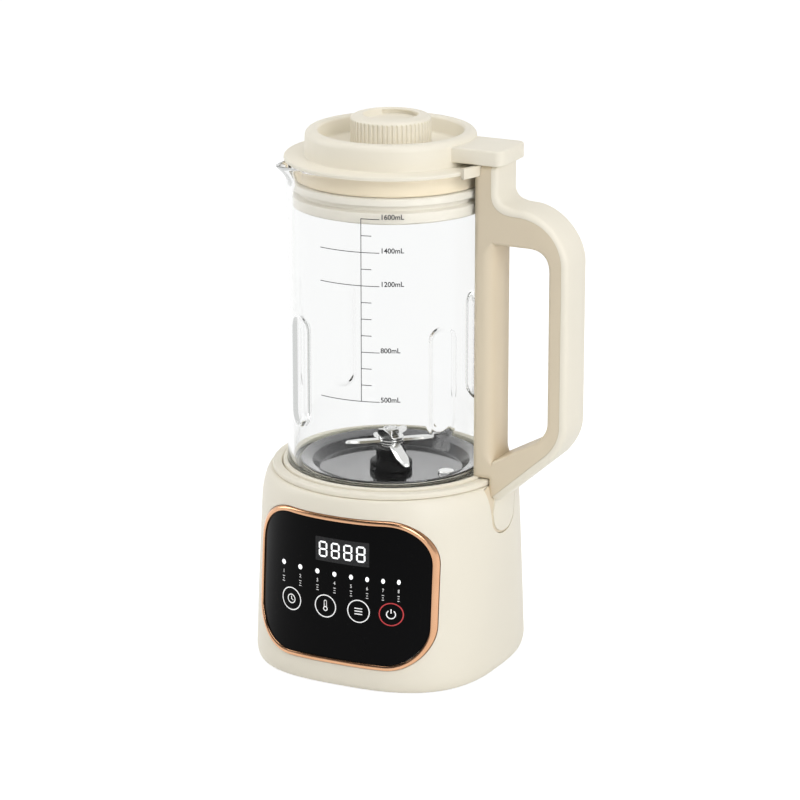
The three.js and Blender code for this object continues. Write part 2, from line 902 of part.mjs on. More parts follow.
function stator() {
  const outer = block(-yokeHalfLength, yokeHalfLength, -yokeHalfDepth, yokeHalfDepth, yokeBottom, yokeTop);
  const bottom = yokeBottom - overrun;
  const top = yokeTop + overrun;
  const innerX = yokeHalfLength - yokeWall;
  const window = block(-innerX, innerX, -windowHalfDepth, windowHalfDepth, bottom, top);
  const poles = block(-yokeHalfLength, yokeHalfLength, -poleHalfWidth, poleHalfWidth, yokeBottom, yokeTop);
  return outer.subtract(window).add(poles).subtract(disc(boreRadius, bottom, top, smallSteps));
}

part('motor_stator', 'iron', stator());

[['left', -1], ['right', 1]].forEach(([word, side]) => {
  const coilOuterHalf = Math.min(coilInnerHalf + coilThickness, windowHalfDepth - gap);
  const coilStart = yokeHalfLength - coilInset;
  const x0 = side > 0 ? coilStart : -coilStart - coilLength;
  const x1 = x0 + coilLength;
  const outline = roundedRectangle(
    -coilOuterHalf,
    coilOuterHalf,
    yokeBottom - coilReachZ,
    yokeTop + coilReachZ,
    coilThickness / 2,
  );
  const inside = block(
    x0 - overrun,
    x1 + overrun,
    -coilInnerHalf,
    coilInnerHalf,
    yokeBottom - gap,
    yokeTop + gap,
  );
  part(`field_coil_${word}`, 'copper', prismX(outline, x0, x1).subtract(inside));
});

// A bracket is a bar across the motor with two feet on the stator and a bearing pocket in the middle.
function bracket(bottom, footFrom, footTo) {
  const top = bottom + bracketThickness;
  let shape = block(-yokeHalfLength, yokeHalfLength, -bracketHalfWidth, bracketHalfWidth, bottom, top);
  [-1, 1].forEach((side) => {
    const x = side * (yokeHalfLength - yokeWall / 2);
    const half = yokeWall / 2;
    shape = shape.add(block(x - half, x + half, -bracketHalfWidth, bracketHalfWidth, footFrom, footTo));
  });
  return shape.subtract(disc(bearingRadius + gap, bottom - overrun, top + overrun, smallSteps));
}

part('lower_motor_bracket', 'iron', bracket(lowerBracketBottom, lowerBracketTop - gap, yokeBottom - gap));
part('upper_motor_bracket', 'iron', bracket(upperBracketBottom, yokeTop + gap, upperBracketBottom + gap));

[['lower', lowerBracketBottom], ['upper', upperBracketBottom]].forEach(([word, bottom]) => {
  const z0 = bottom + (bracketThickness - bearingHeight) / 2;
  const bearing = ring(shaftRadius + gap, bearingRadius, z0, z0 + bearingHeight, smallSteps);
  part(`${word}_motor_bearing`, 'steel', bearing);
});

const couplingTop = seatFloorTop + couplingRise;
const couplingBottom = couplingTop - couplingHeight;
const shaftTop = couplingTop - shaftShort;
const commutatorTop = armatureBottom - windingReach;
const commutatorBottom = commutatorTop - commutatorLength;
part('motor_armature', 'copper', turned([
  [shaftRadius + gap, commutatorBottom],
  [commutatorRadius, commutatorBottom],
  [commutatorRadius, commutatorTop],
  [windingRadius, commutatorTop],
  [windingRadius, armatureBottom],
  [armatureRadius, armatureBottom],
  [armatureRadius, armatureTop],
  [windingRadius, armatureTop],
  [windingRadius, armatureTop + windingReach],
  [shaftRadius + gap, armatureTop + windingReach],
], smallSteps));

part('motor_shaft', 'steel', disc(shaftRadius, shaftBottom, shaftTop, smallSteps));

[['left', -1], ['right', 1]].forEach(([word, side]) => {
  const near = side * (commutatorRadius + gap);
  const far = side * (commutatorRadius + gap + brushLength);
  const z0 = lowerBracketTop + gap;
  const holder = block(
    Math.min(near, far),
    Math.max(near, far),
    -brushHalfWidth,
    brushHalfWidth,
    z0,
    z0 + brushHeight,
  );
  part(`brush_holder_${word}`, 'dark', holder);
});

function coolingFan() {
  const top = fanBottom + fanHeight;
  const half = fanBladeThickness / 2;
  const inner = fanHubRadius - fanBladeThickness;
  const outer = fanRadius - fanBladeThickness;
  const blade = block(inner, outer, -half, half, fanBottom, top - fanDiscThickness / 2);
  let fan = disc(fanRadius, top - fanDiscThickness, top, mediumSteps);
  fan = fan.add(disc(fanHubRadius, fanBottom, top, smallSteps));
  for (let i = 0; i < fanBladeCount; i++) {
    fan = fan.add(turnedAbout(blade, (i * 360) / fanBladeCount));
  }
  return fan.subtract(disc(shaftRadius + gap, 0, top + overrun, smallSteps));
}

part('cooling_fan', 'dark', coolingFan());

// A star of lobes round a core, used for the coupling and for its socket.
function lobes(play, bottom, top) {
  const half = couplingLobeHalfWidth + play;
  const reach = couplingLobeRadius + play;
  const bar = block(-reach, reach, -half, half, bottom, top);
  let star = disc(couplingCoreRadius + play, bottom, top, smallSteps);
  for (let i = 0; i < couplingLobes / 2; i++) {
    star = star.add(turnedAbout(bar, (i * 360) / couplingLobes));
  }
  return star;
}

const lobeBottom = couplingTop + gap - couplingLobeHeight;
const drivenFlangeBottom = couplingTop + slideGap;
const bladeShaftBottom = shaftTop + gap;
part('drive_coupling', 'dark', disc(couplingRadius, couplingBottom, couplingTop, mediumSteps)
  .subtract(lobes(slideGap, lobeBottom - slideGap, couplingTop + overrun))
  .subtract(disc(shaftRadius + gap, couplingBottom - overrun, shaftTop + gap, smallSteps)));
part('driven_coupling', 'steel', lobes(0, lobeBottom, drivenFlangeBottom + gap)
  .add(disc(drivenFlangeRadius, drivenFlangeBottom, drivenFlangeBottom + drivenFlangeHeight, mediumSteps))
  .subtract(disc(bladeShaftRadius + gap, lobeBottom - overrun, collarTop, smallSteps)));

// Power inlet, its pins and the power board

const inletBack = inletMouth - inletDepth;
const inletFloor = inletBack + inletWall;
const inletPins = [
  ['live', -pinSpacing, -pinOffset],
  ['earth', 0, pinOffset],
  ['neutral', pinSpacing, -pinOffset],
];

function pinBlock(x, z, play, y0, y1) {
  const halfX = pinHalfWidth + play;
  const halfZ = pinHalfHeight + play;
  return block(x - halfX, x + halfX, y0, y1, inletCentreZ + z - halfZ, inletCentreZ + z + halfZ);
}

function powerInlet() {
  const z0 = inletCentreZ - inletHalfHeight;
  const z1 = inletCentreZ + inletHalfHeight;
  const outline = roundedRectangle(-inletHalfWidth, inletHalfWidth, z0, z1, inletWall);
  const cavity = block(
    -inletHalfWidth + inletWall,
    inletHalfWidth - inletWall,
    inletFloor,
    inletMouth + overrun,
    z0 + inletWall,
    z1 - inletWall,
  );
  let inlet = prismY(outline, inletBack, inletMouth).subtract(cavity);
  inletPins.forEach(([, x, z]) => {
    inlet = inlet.subtract(pinBlock(x, z, gap, inletBack - overrun, inletFloor + overrun));
  });
  return inlet;
}

part('power_inlet', 'dark', powerInlet());
inletPins.forEach(([word, x, z]) => {
  part(`inlet_pin_${word}`, 'steel', pinBlock(x, z, 0, inletBack - pinTail, inletMouth - pinSetback));
});

function powerBoard() {
  const front = powerBoardBack - boardThickness;
  const rooted = front + boardThickness / 2;
  const halfWidth = powerBoardHalfWidth;
  const board = block(-halfWidth, halfWidth, front, powerBoardBack, powerBoardBottom, powerBoardTop);
  const left = relaySize / 2 - halfWidth;
  const low = powerBoardBottom + relaySize / 2;
  const relay = block(left, left + relaySize, front - relaySize, rooted, low, low + relaySize);
  const sink = block(-relaySize / 2, relaySize, front - relaySize, rooted, low, low + heatSinkHeight);
  const capacitorX = halfWidth - 2 * capacitorRadius;
  const can = new THREE.CylinderGeometry(capacitorRadius, capacitorRadius, capacitorLength, footSteps);
  can.translate(capacitorX, rooted - capacitorLength / 2, low + capacitorRadius);
  return joined(board, relay, sink, solid(can));
}

part('power_board', 'board', powerBoard());

// Plug and socket between jug and base

const socketTop = seatFloorTop + socketTopRise;
const connectorPins = Array.from({ length: connectorPinCount }, (_, i) => (
  (i - (connectorPinCount - 1) / 2) * connectorPinPitch
));

function pinColumn(y, play, bottom, top) {
  const half = connectorPinHalf + play;
  return block(connectorX - half, connectorX + half, y - half, y + half, bottom, top);
}

function connectorSocket() {
  const x0 = connectorX - connectorHalfLength;
  const x1 = connectorX + connectorHalfLength;
  const holeBottom = socketTop - connectorPinLength - slideGap;
  let shape = block(x0, x1, -connectorHalfWidth, connectorHalfWidth, socketTop - socketDepth, socketTop);
  connectorPins.forEach((y) => {
    shape = shape.subtract(pinColumn(y, slideGap, holeBottom, socketTop + overrun));
  });
  return shape;
}

const collarFloorTop = collarBottom + collarFloor;

function connectorPlug() {
  const x0 = connectorX - connectorHalfLength;
  const x1 = connectorX + connectorHalfLength;
  const top = collarFloorTop + collarFloor;
  let shape = block(x0, x1, -connectorHalfWidth, connectorHalfWidth, collarBottom, top);
  connectorPins.forEach((y) => {
    shape = shape.add(pinColumn(y, 0, socketTop - connectorPinLength, collarFloorTop));
  });
  return shape;
}

part('connector_socket', 'dark', connectorSocket());
part('connector_plug', 'dark', connectorPlug());

// Glass jug

function angleBetween(a, b) {
  return Math.abs(THREE.MathUtils.euclideanModulo(a - b + 180, 360) - 180);
}

const fluteBottom = glassBottom + fluteRaise;
const fluteTop = fluteBottom + fluteLength;

// The flutes press the wall in over a length with run-outs, and the spout pulls the rim out.
function glassBendAt(radius, angle, z) {
  const heading = angle / degrees;
  let change = 0;
  for (let i = 0; i < fluteCount; i++) {
    const off = angleBetween(heading, fluteFirstAngle + (i * 360) / fluteCount) / fluteHalfAngle;
    const rise = Math.min(z - fluteBottom, fluteTop - z) / fluteRunOut;
    if (off < 1 && rise > 0) change -= fluteDepth * Math.min(1, rise) * Math.cos(off * 90 * degrees);
  }
  const off = angleBetween(heading, spoutAngle) / spoutHalfAngle;
  const rise = (z - glassRim + spoutHeight) / spoutHeight;
  if (off < 1 && rise > 0) change += spoutReach * rise ** 2 * Math.cos(off * 90 * degrees) ** 2;
  return radius + change;
}

const glassLipTop = glassBottom + glassLipRise;
const glassLipRadius = glassRadius - glassLipInset;

function glassJug() {
  const levels = [
    fluteBottom,
    fluteBottom + fluteRunOut,
    fluteTop - fluteRunOut,
    fluteTop,
    glassRim - spoutHeight,
  ];
  const foot = quarter(
    [glassRadius - glassBend, glassBottom],
    [glassRadius, glassBottom + glassBend],
    [glassRadius, glassBottom],
  );
  const lip = quarter(
    [glassInner, glassLipTop + glassLipBlend],
    [heaterRimRadius + gap, glassLipTop],
    [glassInner, glassLipTop],
  );
  const profile = [
    ...foot,
    ...levels.map((z) => [glassRadius, z]),
    [glassRadius, glassRim],
    [glassInner, glassRim],
    ...[...levels].reverse().map((z) => [glassInner, z]),
    ...lip,
    [glassLipRadius, glassLipTop],
    [glassLipRadius, glassBottom],
  ];
  const steps = fluteCount * Math.round(wideSteps / fluteCount);
  return turned(profile, steps, glassBendAt, fluteFirstAngle + 90);
}

part('glass_jug', 'glass', glassJug());

const collarInner = glassRadius + gap;
const upstandTop = collarTop + upstandRise;

function jugCollar() {
  const ledgeTop = glassBottom - gap;
  const wall = turned([
    [collarRadius, collarBottom],
    [collarRadius, collarTop - collarChamfer],
    [collarRadius - collarChamfer, collarTop],
    [collarInner, collarTop],
    [collarInner, ledgeTop],
    [collarInner - collarLedge, ledgeTop],
    [collarInner - collarLedge, collarFloorTop],
    [collarHoleRadius, collarFloorTop],
    [collarHoleRadius, collarBottom],
  ], roundSteps);
  const upstandBottom = collarTop - overrun;
  const sector = block(0, 2 * collarRadius, -upstandHalfWidth, upstandHalfWidth, upstandBottom, upstandTop);
  const upstand = ring(collarInner, collarRadius, upstandBottom, upstandTop, roundSteps).intersect(sector);
  const plugHole = block(
    connectorX - connectorHalfLength - gap,
    connectorX + connectorHalfLength + gap,
    -connectorHalfWidth - gap,
    connectorHalfWidth + gap,
    collarBottom - overrun,
    collarFloorTop + overrun,
  );
  return wall.add(upstand).subtract(plugHole);
}

part('jug_collar', 'cream', jugCollar());

// Heating plate

const heaterRimTop = glassLipTop + heaterRimRise;
const heaterFloorZ = heaterRimTop - heaterDepth;
const heaterUnderZ = heaterFloorZ - heaterSheet;
const heaterSlopeTopRadius = heaterRimRadius - heaterRimWidth;
const heaterFloorRadius = heaterSlopeTopRadius - heaterSlopeWidth;

function heatingPlate() {
  const rimUnder = heaterRimTop - heaterSheet;
  const profile = [
    [hubStemRadius + gap, heaterUnderZ],
    [heaterFloorRadius, heaterUnderZ],
    [heaterSlopeTopRadius, rimUnder],
    [heaterRimRadius, rimUnder],
    [heaterRimRadius, heaterRimTop],
    [heaterSlopeTopRadius - heaterSheet, heaterRimTop],
    [heaterFloorRadius - heaterSheet, heaterFloorZ],
    [hubStemRadius + gap, heaterFloorZ],
  ];
  const stemHole = disc(sensorStemRadius + gap, heaterUnderZ - overrun, heaterFloorZ + overrun, tinySteps);
  return turned(profile, roundSteps).subtract(moved(stemHole, sensorX, sensorY, 0));
}

part('heating_plate', 'plate', heatingPlate());
part('plate_gasket', 'silicone', ring(
  glassLipRadius + gap,
  heaterRimRadius,
  glassLipTop + gap,
  heaterRimTop - heaterSheet - gap,
  mediumSteps,
));

class ElementPath extends THREE.Curve {
  getPoint(share, target = new THREE.Vector3()) {
    const angle = (180 - elementSweep / 2 + elementSweep * share) * degrees;
    const z = heaterUnderZ - gap - elementTube;
    return target.set(-elementRadius * Math.cos(angle), -elementRadius * Math.sin(angle), z);
  }
}

function heaterElement() {
  const section = new THREE.Shape();
  section.absarc(0, 0, elementTube, 0, 360 * degrees);
  const tube = new THREE.ExtrudeGeometry(section, {
    steps: elementSteps,
    curveSegments: elementSideSteps,
    extrudePath: new ElementPath(),
  });
  const half = elementTube / 2;
  const pins = [0, 1].map((share) => {
    const end = new ElementPath().getPoint(share);
    return block(end.x - half, end.x + half, end.y - half, end.y + half, end.z - elementPin, end.z);
  });
  return joined(solid(tube), ...pins);
}

part('heater_element', 'iron', heaterElement());

const sensorBottom = heaterFloorZ + gap;
const sensorHead = disc(sensorHeadRadius, sensorBottom, sensorBottom + sensorHeadHeight, smallSteps);
const sensorStem = disc(
  sensorStemRadius,
  heaterFloorZ - sensorStemLength,
  sensorBottom + sensorHeadHeight / 2,
  tinySteps,
);
part('temperature_sensor', 'steel', moved(sensorHead.add(sensorStem), sensorX, sensorY, 0));

// Blade bearing

const hubBottom = heaterFloorZ + gap;
const hubTop = hubBottom + hubHeight;
const hubStemBottom = heaterFloorZ - hubStemDrop;
const hubNeckTop = heaterFloorZ + hubNeckRise;
const sealPocketBottom = hubNeckTop - sealPocketDepth;
part('bearing_housing', 'dark', turned([
  [hubBoreRadius, hubStemBottom],
  [hubStemRadius, hubStemBottom],
  [hubStemRadius, hubBottom],
  [hubRadius, hubBottom],
  [hubRadius, hubTop - hubChamfer],
  [hubRadius - hubChamfer, hubTop],
  [hubNeckRadius, hubTop],
  [hubNeckRadius, hubNeckTop],
  [sealPocketRadius, hubNeckTop],
  [sealPocketRadius, sealPocketBottom],
  [hubBoreRadius, sealPocketBottom],
], mediumSteps));
const hubNutTop = heaterUnderZ - gap;
part('housing_nut', 'steel', disc(hubNutRadius, hubNutTop - hubNutHeight, hubNutTop, hubNutSides)
  .subtract(disc(hubStemRadius + gap, hubStemBottom - overrun, heaterFloorZ, mediumSteps)));
part('shaft_bush', 'copper', ring(
  bladeShaftRadius + gap,
  hubBoreRadius - gap,
  hubStemBottom,
  sealPocketBottom - gap,
  smallSteps,
));
part('shaft_seal', 'rubber', ring(
  bladeShaftRadius + gap,
  sealPocketRadius - gap,
  sealPocketBottom + gap,
  hubNeckTop - gap,
  smallSteps,
));

// Blades

const bladeSeatTop = hubNeckTop + bladeSeatRise;
const bladeForms = [['lower_blade', lowBlade], ['middle_blade', longBlade], ['upper_blade', highBlade]];
const bladePitch = bladeThickness + gap;
const bladeStackTop = bladeSeatTop + gap + bladeForms.length * bladePitch;
const bladeNutTop = bladeStackTop + bladeNutHeight;

part('blade_shaft', 'steel', joined(
  disc(bladeShaftRadius, bladeShaftBottom, bladeSeatTop - bladeSeatThickness / 2, smallSteps),
  disc(bladeSeatRadius, bladeSeatTop - bladeSeatThickness, bladeSeatTop, smallSteps),
  disc(bladeThreadRadius, bladeSeatTop - bladeSeatThickness / 2, bladeNutTop, smallSteps),
));

// One arm: a tapering plate that leaves the blade's middle at a tilt.
function bladeArm(reach, tilt, heading, z) {
  const start = bladeHubRadius - bladeThickness;
  const length = (reach - start) / Math.cos(tilt * degrees);
  const shape = polygon([
    [0, -bladeRootHalfWidth],
    [length * bladeShoulderShare, -bladeRootHalfWidth],
    [length, -bladeTipHalfWidth],
    [length, bladeTipHalfWidth],
    [length * bladeShoulderShare, bladeRootHalfWidth],
    [0, bladeRootHalfWidth],
  ]);
  const geometry = new THREE.ExtrudeGeometry(shape, { depth: bladeThickness, bevelEnabled: false });
  geometry.rotateY(-tilt * degrees);
  geometry.translate(start, 0, z);
  geometry.rotateZ(heading * degrees);
  return solid(geometry);
}

function blade(form, z) {
  const middle = disc(bladeHubRadius, z, z + bladeThickness, smallSteps);
  const near = bladeArm(form.reach, form.tilt, form.heading, z);
  const far = bladeArm(form.farReach, form.farTilt, form.heading + 180, z);
  const hole = disc(bladeThreadRadius + gap, z - overrun, z + bladeThickness + overrun, smallSteps);
  return joined(middle, near, far).subtract(hole);
}

bladeForms.forEach(([name, form], i) => {
  part(name, 'steel', blade(form, bladeSeatTop + gap + i * bladePitch));
});
part('blade_nut', 'steel', disc(bladeNutRadius, bladeStackTop, bladeNutTop, bladeNutSides)
  .subtract(disc(bladeThreadRadius + gap, bladeStackTop - overrun, bladeNutTop + overrun, smallSteps)));

// Handle

const columnInner = glassRadius + gap;
const columnBottom = ringTop + gap;
const footInner = dockBack + slideGap;
const neckBottom = columnTop - neckDrop;
const armShoulderX = neckOuter + armReach;
const armShoulderZ = columnTop - armDrop;
const gripLowX = gripOuter - gripLowInset;
const gripLowZ = gripBottom - gripLowDrop;
const heelX = columnOuter + heelReach;
const heelZ = baseTop - heelDrop;
const holeOuter = gripOuter - gripThickness;
const holeTop = gripTop + holeTopRise;
const holeBottomX = holeOuter - holeBottomInset;
const holeBottomZ = gripBottom - holeBottomDrop;
const holeCornerZ = holeBottomZ - holeCornerDrop;

// Side outline without the guide foot; inset moves the outer contour inwards.
function handleOutline(inset, start) {
  const shape = new THREE.Shape();
  shape.moveTo(start, columnBottom);
  shape.lineTo(start, columnTop);
  shape.lineTo(neckOuter - inset, columnTop);
  shape.lineTo(neckOuter - inset, neckBottom);
  shape.quadraticCurveTo(
    neckOuter - inset,
    armShoulderZ - inset,
    armShoulderX - inset / 2,
    armShoulderZ - inset,
  );
  shape.bezierCurveTo(
    (armShoulderX + gripOuter) / 2,
    armShoulderZ - inset,
    gripOuter - inset,
    (armShoulderZ + gripTop) / 2,
    gripOuter - inset,
    gripTop,
  );
  shape.lineTo(gripOuter - inset, gripBottom);
  shape.quadraticCurveTo(
    gripOuter - inset,
    (gripBottom + gripLowZ) / 2,
    gripLowX - inset,
    gripLowZ + inset / 2,
  );
  shape.lineTo(heelX - heelSlope * inset, heelZ);
  shape.lineTo(footInner, heelZ);
  shape.lineTo(footInner, columnBottom);
  return shape;
}

function fingerHole(grow) {
  const shape = new THREE.Shape();
  shape.moveTo(columnOuter - grow, holeCornerZ - grow);
  shape.lineTo(holeBottomX, holeBottomZ - grow);
  shape.quadraticCurveTo(
    holeOuter + grow,
    holeBottomZ + holeTopRadius / 2,
    holeOuter + grow,
    holeBottomZ + holeTopRadius,
  );
  shape.lineTo(holeOuter + grow, holeTop - holeTopRadius);
  shape.quadraticCurveTo(holeOuter + grow, holeTop + grow, holeOuter - holeTopRadius, holeTop + grow);
  shape.lineTo(columnOuter - grow, holeTop + grow);
  return shape;
}

function handleFull() {
  const side = handleHalfWidth + overrun;
  const hole = prismY(fingerHole(0), -side, side, 0, curveSteps);
  const outline = handleOutline(0, columnInner - gap);
  return prismY(outline, -handleHalfWidth, handleHalfWidth, handleEdge, curveSteps).subtract(hole);
}

function handleFoot(grow) {
  const outline = dockOutline(slideGap - grow, baseTop + grow);
  const blank = prismX(outline, footInner - grow, baseHalfWidth + overrun);
  return blank.intersect(housing(grow));
}

function handleCore(inset) {
  const side = handleHalfWidth + overrun;
  return prismY(handleOutline(inset, columnInner - overrun), -side, side, 0, curveSteps);
}

const switchBottom = columnTop - switchDepth;
const clipInner = lidFlangeRadius + slideGap;
const clipOuter = clipInner + clipThickness;
const clipBottom = glassRim - clipDrop;
const clipTop = clipBottom + clipHeight;

function handleInner() {
  const glassClear = disc(columnInner, columnBottom - overrun, columnTop + overrun, roundSteps);
  const flangeBottom = glassRim + gap;
  const flangeClear = disc(clipInner, flangeBottom - slideGap, columnTop + overrun, roundSteps);
  const collarClear = disc(collarRadius + gap, columnBottom - overrun, collarTop + gap, roundSteps);
  const clipSlot = disc(clipOuter + gap, clipBottom - gap, clipTop + gap, roundSteps);
  const upstandSlot = disc(collarRadius + gap, columnBottom - overrun, upstandTop + gap, roundSteps)
    .intersect(block(0, gripOuter, -upstandHalfWidth - gap, upstandHalfWidth + gap, 0, upstandTop + gap));
  const pocket = block(
    switchX - switchHalf - gap,
    switchX + switchHalf + gap,
    -switchLength / 2 - gap,
    switchLength / 2 + gap,
    switchBottom - gap,
    columnTop + overrun,
  );
  return handleFull()
    .intersect(handleCore(shellSplit + gap))
    .add(handleFoot(0))
    .subtract(collarClear)
    .subtract(glassClear)
    .subtract(flangeClear)
    .subtract(clipSlot)
    .subtract(upstandSlot)
    .subtract(pocket);
}

part('handle_inner', 'beige', handleInner());
part('handle_outer', 'cream', handleFull().subtract(handleCore(shellSplit)).subtract(handleFoot(gap)));

function rimClip() {
  const far = 2 * clipOuter;
  const wide = far * Math.tan(clipHalfAngle * degrees);
  const sector = polygon([[0, 0], [far, -wide], [far, wide]]);
  return ring(clipInner, clipOuter, clipBottom, clipTop, roundSteps)
    .intersect(prismZ(sector, clipBottom - overrun, clipTop + overrun));
}

part('rim_clip', 'ivory', rimClip());
part('lid_switch', 'dark', block(
  switchX - switchHalf,
  switchX + switchHalf,
  -switchLength / 2,
  switchLength / 2,
  switchBottom,
  columnTop - gap,
));

// Lid

const lidFlangeBottom = glassRim + gap;
const lidFlangeTop = lidFlangeBottom + lidFlangeThickness;
const lidPlugBottom = glassRim - lidPlugDrop;
const throatBottom = wellFloor - throatLength;
const tabBottom = columnTop + gap;
const tabTop = tabBottom + tabThickness;
const tabEnd = columnOuter + tabReach;

function lidBody() {
  const plugInner = lidPlugRadius - lidWall;
  const bandBottom = lidFlangeBottom - lidBandDrop;
  const bandRadius = glassInner - lidBandPlay;
  const underFloor = wellFloor - lidWall;
  const outerEdge = quarter(
    [turretRadius, turretTop - turretRound],
    [turretRadius - turretRound, turretTop],
    [turretRadius, turretTop],
  );
  const innerEdge = quarter(
    [turretOpening + turretInnerRound, turretTop],
    [turretOpening, turretTop - turretInnerRound],
    [turretOpening, turretTop],
  );
  const profile = [
    [throatRadius, throatBottom],
    [throatRadius + lidWall, throatBottom],
    [throatRadius + lidWall, underFloor],
    [turretOpening, underFloor],
    [plugInner, lidFlangeBottom],
    [plugInner, lidPlugBottom],
    [lidPlugRadius, lidPlugBottom],
    [lidPlugRadius, bandBottom],
    [bandRadius, bandBottom],
    [bandRadius, lidFlangeBottom],
    [lidFlangeRadius, lidFlangeBottom],
    [lidFlangeRadius, lidFlangeTop],
    [turretRadius, lidFlangeTop],
    ...outerEdge,
    ...innerEdge,
    [turretOpening, wellFloor],
    [throatRadius, wellFloor],
  ];
  const tabOutline = roundedRectangle(turretOpening, tabEnd, -tabHalfWidth, tabHalfWidth, tabCorner);
  const tab = prismZ(tabOutline, tabBottom, tabTop)
    .subtract(disc((turretRadius + turretOpening) / 2, 0, turretTop, roundSteps));
  const pocketTop = tabBottom + magnetHeight + 2 * gap;
  const magnetPocket = disc(magnetRadius + gap, tabBottom - overrun, pocketTop, tinySteps);
  return turned(profile, roundSteps).add(tab).subtract(moved(magnetPocket, switchX, 0, 0));
}

part('lid_body', 'cream', lidBody());

const magnetBottom = tabBottom + gap;
const magnet = disc(magnetRadius, magnetBottom, magnetBottom + magnetHeight, tinySteps);
part('lid_magnet', 'steel', moved(magnet, switchX, 0, 0));

const sealUpperTop = glassRim - sealDrop;
const sealUpperBottom = sealUpperTop - sealUpperHeight;
const sealLowerTop = sealUpperBottom - sealGroove;
const sealLowerBottom = sealLowerTop - sealLowerHeight;
const sealWaistRadius = sealLipRadius - sealWaist;
part('lid_seal', 'silicone', turned([
  [lidPlugRadius + gap, sealLowerBottom],
  [sealLipRadius - gap, sealLowerBottom],
  [sealLipRadius, sealLowerTop],
  [sealWaistRadius, sealLowerTop],
  [sealWaistRadius, sealUpperBottom],
  [sealLipRadius, sealUpperBottom],
  [sealLipRadius - gap, sealUpperTop],
  [lidPlugRadius + gap, sealUpperTop],
], roundSteps));

// Filler cap

const plugFlangeBottom = wellFloor + gap;
const plugFlangeTop = plugFlangeBottom + plugFlangeHeight;
const plugBottom = wellFloor - plugLength;
const knobBottom = wellFloor + 2 * gap;
const knobRibTop = knobBottom + knobRibHeight;
const knobTop = knobRibTop + knobShoulder;
const plugPegTop = knobTop - plugPegShort;
const capSealTop = wellFloor - capSealDrop;

function capKnob() {
  const shoulder = quarter([knobRadius, knobRibTop], [knobRimRadius, knobTop], [knobRadius, knobTop]);
  const roof = knobTop - knobRecessDepth;
  const outside = [[0, knobBottom], [knobRadius, knobBottom], ...shoulder, [0, knobTop]];
  const ribbed = turned(outside, 2 * knobRibs, (radius, angle, z) => {
    const onSide = radius > knobRadius - gap && z < knobRibTop + gap;
    const groove = Math.round((angle / Math.PI) * knobRibs) % 2 !== 0;
    return onSide && groove ? radius - knobRibDepth : radius;
  });
  const hollow = disc(knobRadius - knobWall, knobBottom - overrun, roof - knobWall, mediumSteps);
  const recess = disc(knobRecessRadius, roof, knobTop + overrun, mediumSteps);
  const socket = disc(plugPegRadius + knobWall, plugFlangeTop + gap, roof - knobWall / 2, smallSteps);
  const bore = disc(plugPegRadius + gap, knobBottom, plugPegTop + gap, smallSteps);
  const slot = block(
    -knobSlotHalfWidth,
    knobSlotHalfWidth,
    (knobRecessRadius - knobSlotHeight) / 2,
    (knobRecessRadius + knobSlotHeight) / 2,
    roof - knobWall - overrun,
    roof + overrun,
  );
  return ribbed.subtract(hollow).subtract(recess).add(socket).subtract(bore).subtract(slot);
}

part('cap_knob', 'cream', capKnob());

function capPlug() {
  const inside = plugRadius - plugWall;
  const cup = turned([
    [0, plugBottom],
    [plugRadius, plugBottom],
    [plugRadius, capSealTop - capSealHeight - gap],
    [plugRadius - plugWall / 2, capSealTop - capSealHeight - gap],
    [plugRadius - plugWall / 2, capSealTop + gap],
    [plugRadius, capSealTop + gap],
    [plugRadius, plugFlangeBottom],
    [plugFlangeRadius, plugFlangeBottom],
    [plugFlangeRadius, plugFlangeTop],
    [inside, plugFlangeTop],
    [inside, plugBottom + plugWall],
    [0, plugBottom + plugWall],
  ], mediumSteps);
  const peg = disc(plugPegRadius, plugBottom + plugWall / 2, plugPegTop, smallSteps);
  const vent = disc(plugVentRadius, plugBottom - overrun, plugBottom + plugWall + overrun, tinySteps);
  const ventX = (inside + plugPegRadius) / 2;
  return cup.add(peg).subtract(moved(vent, ventX, 0, 0));
}

part('cap_plug', 'ivory', capPlug());
part('cap_seal', 'silicone', ring(
  plugRadius - plugWall / 2 + gap,
  capSealRadius,
  capSealTop - capSealHeight,
  capSealTop,
  mediumSteps,
));

// The origin goes under the middle of the whole object, on the table.
const bounds = new THREE.Box3().setFromObject(model);
const middle = bounds.getCenter(new THREE.Vector3());
model.position.set(-middle.x, -middle.y, -bounds.min.z);

export default model;
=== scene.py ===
import math

import bmesh
import bpy
from mathutils import Matrix, Vector


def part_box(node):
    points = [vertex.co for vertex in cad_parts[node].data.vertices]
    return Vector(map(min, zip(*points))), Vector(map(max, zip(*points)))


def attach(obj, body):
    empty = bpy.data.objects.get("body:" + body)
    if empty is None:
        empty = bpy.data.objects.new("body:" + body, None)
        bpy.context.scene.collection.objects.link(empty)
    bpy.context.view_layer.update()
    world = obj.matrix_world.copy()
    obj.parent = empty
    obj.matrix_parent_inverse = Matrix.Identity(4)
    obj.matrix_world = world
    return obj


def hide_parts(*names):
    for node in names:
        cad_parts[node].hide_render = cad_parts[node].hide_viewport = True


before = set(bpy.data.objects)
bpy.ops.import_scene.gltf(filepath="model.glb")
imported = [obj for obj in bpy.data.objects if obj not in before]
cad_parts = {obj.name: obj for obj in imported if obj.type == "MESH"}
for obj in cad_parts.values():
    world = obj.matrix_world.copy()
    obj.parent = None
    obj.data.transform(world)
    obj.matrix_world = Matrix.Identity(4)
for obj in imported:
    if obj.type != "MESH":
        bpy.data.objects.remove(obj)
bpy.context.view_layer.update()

# Camera: it stands in front of the machine, a little to the right of it and above it, as far off as in a
# shop photograph. The jug's axis is taken from the collar round the jug's foot.
mm = 0.001
collar_low, collar_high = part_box("jug_collar")
AXIS = Vector(((collar_low.x + collar_high.x) / 2, (collar_low.y + collar_high.y) / 2, 0))
CAMERA_PLACE = Vector((879.75, -1796.36, 758.2)) * mm
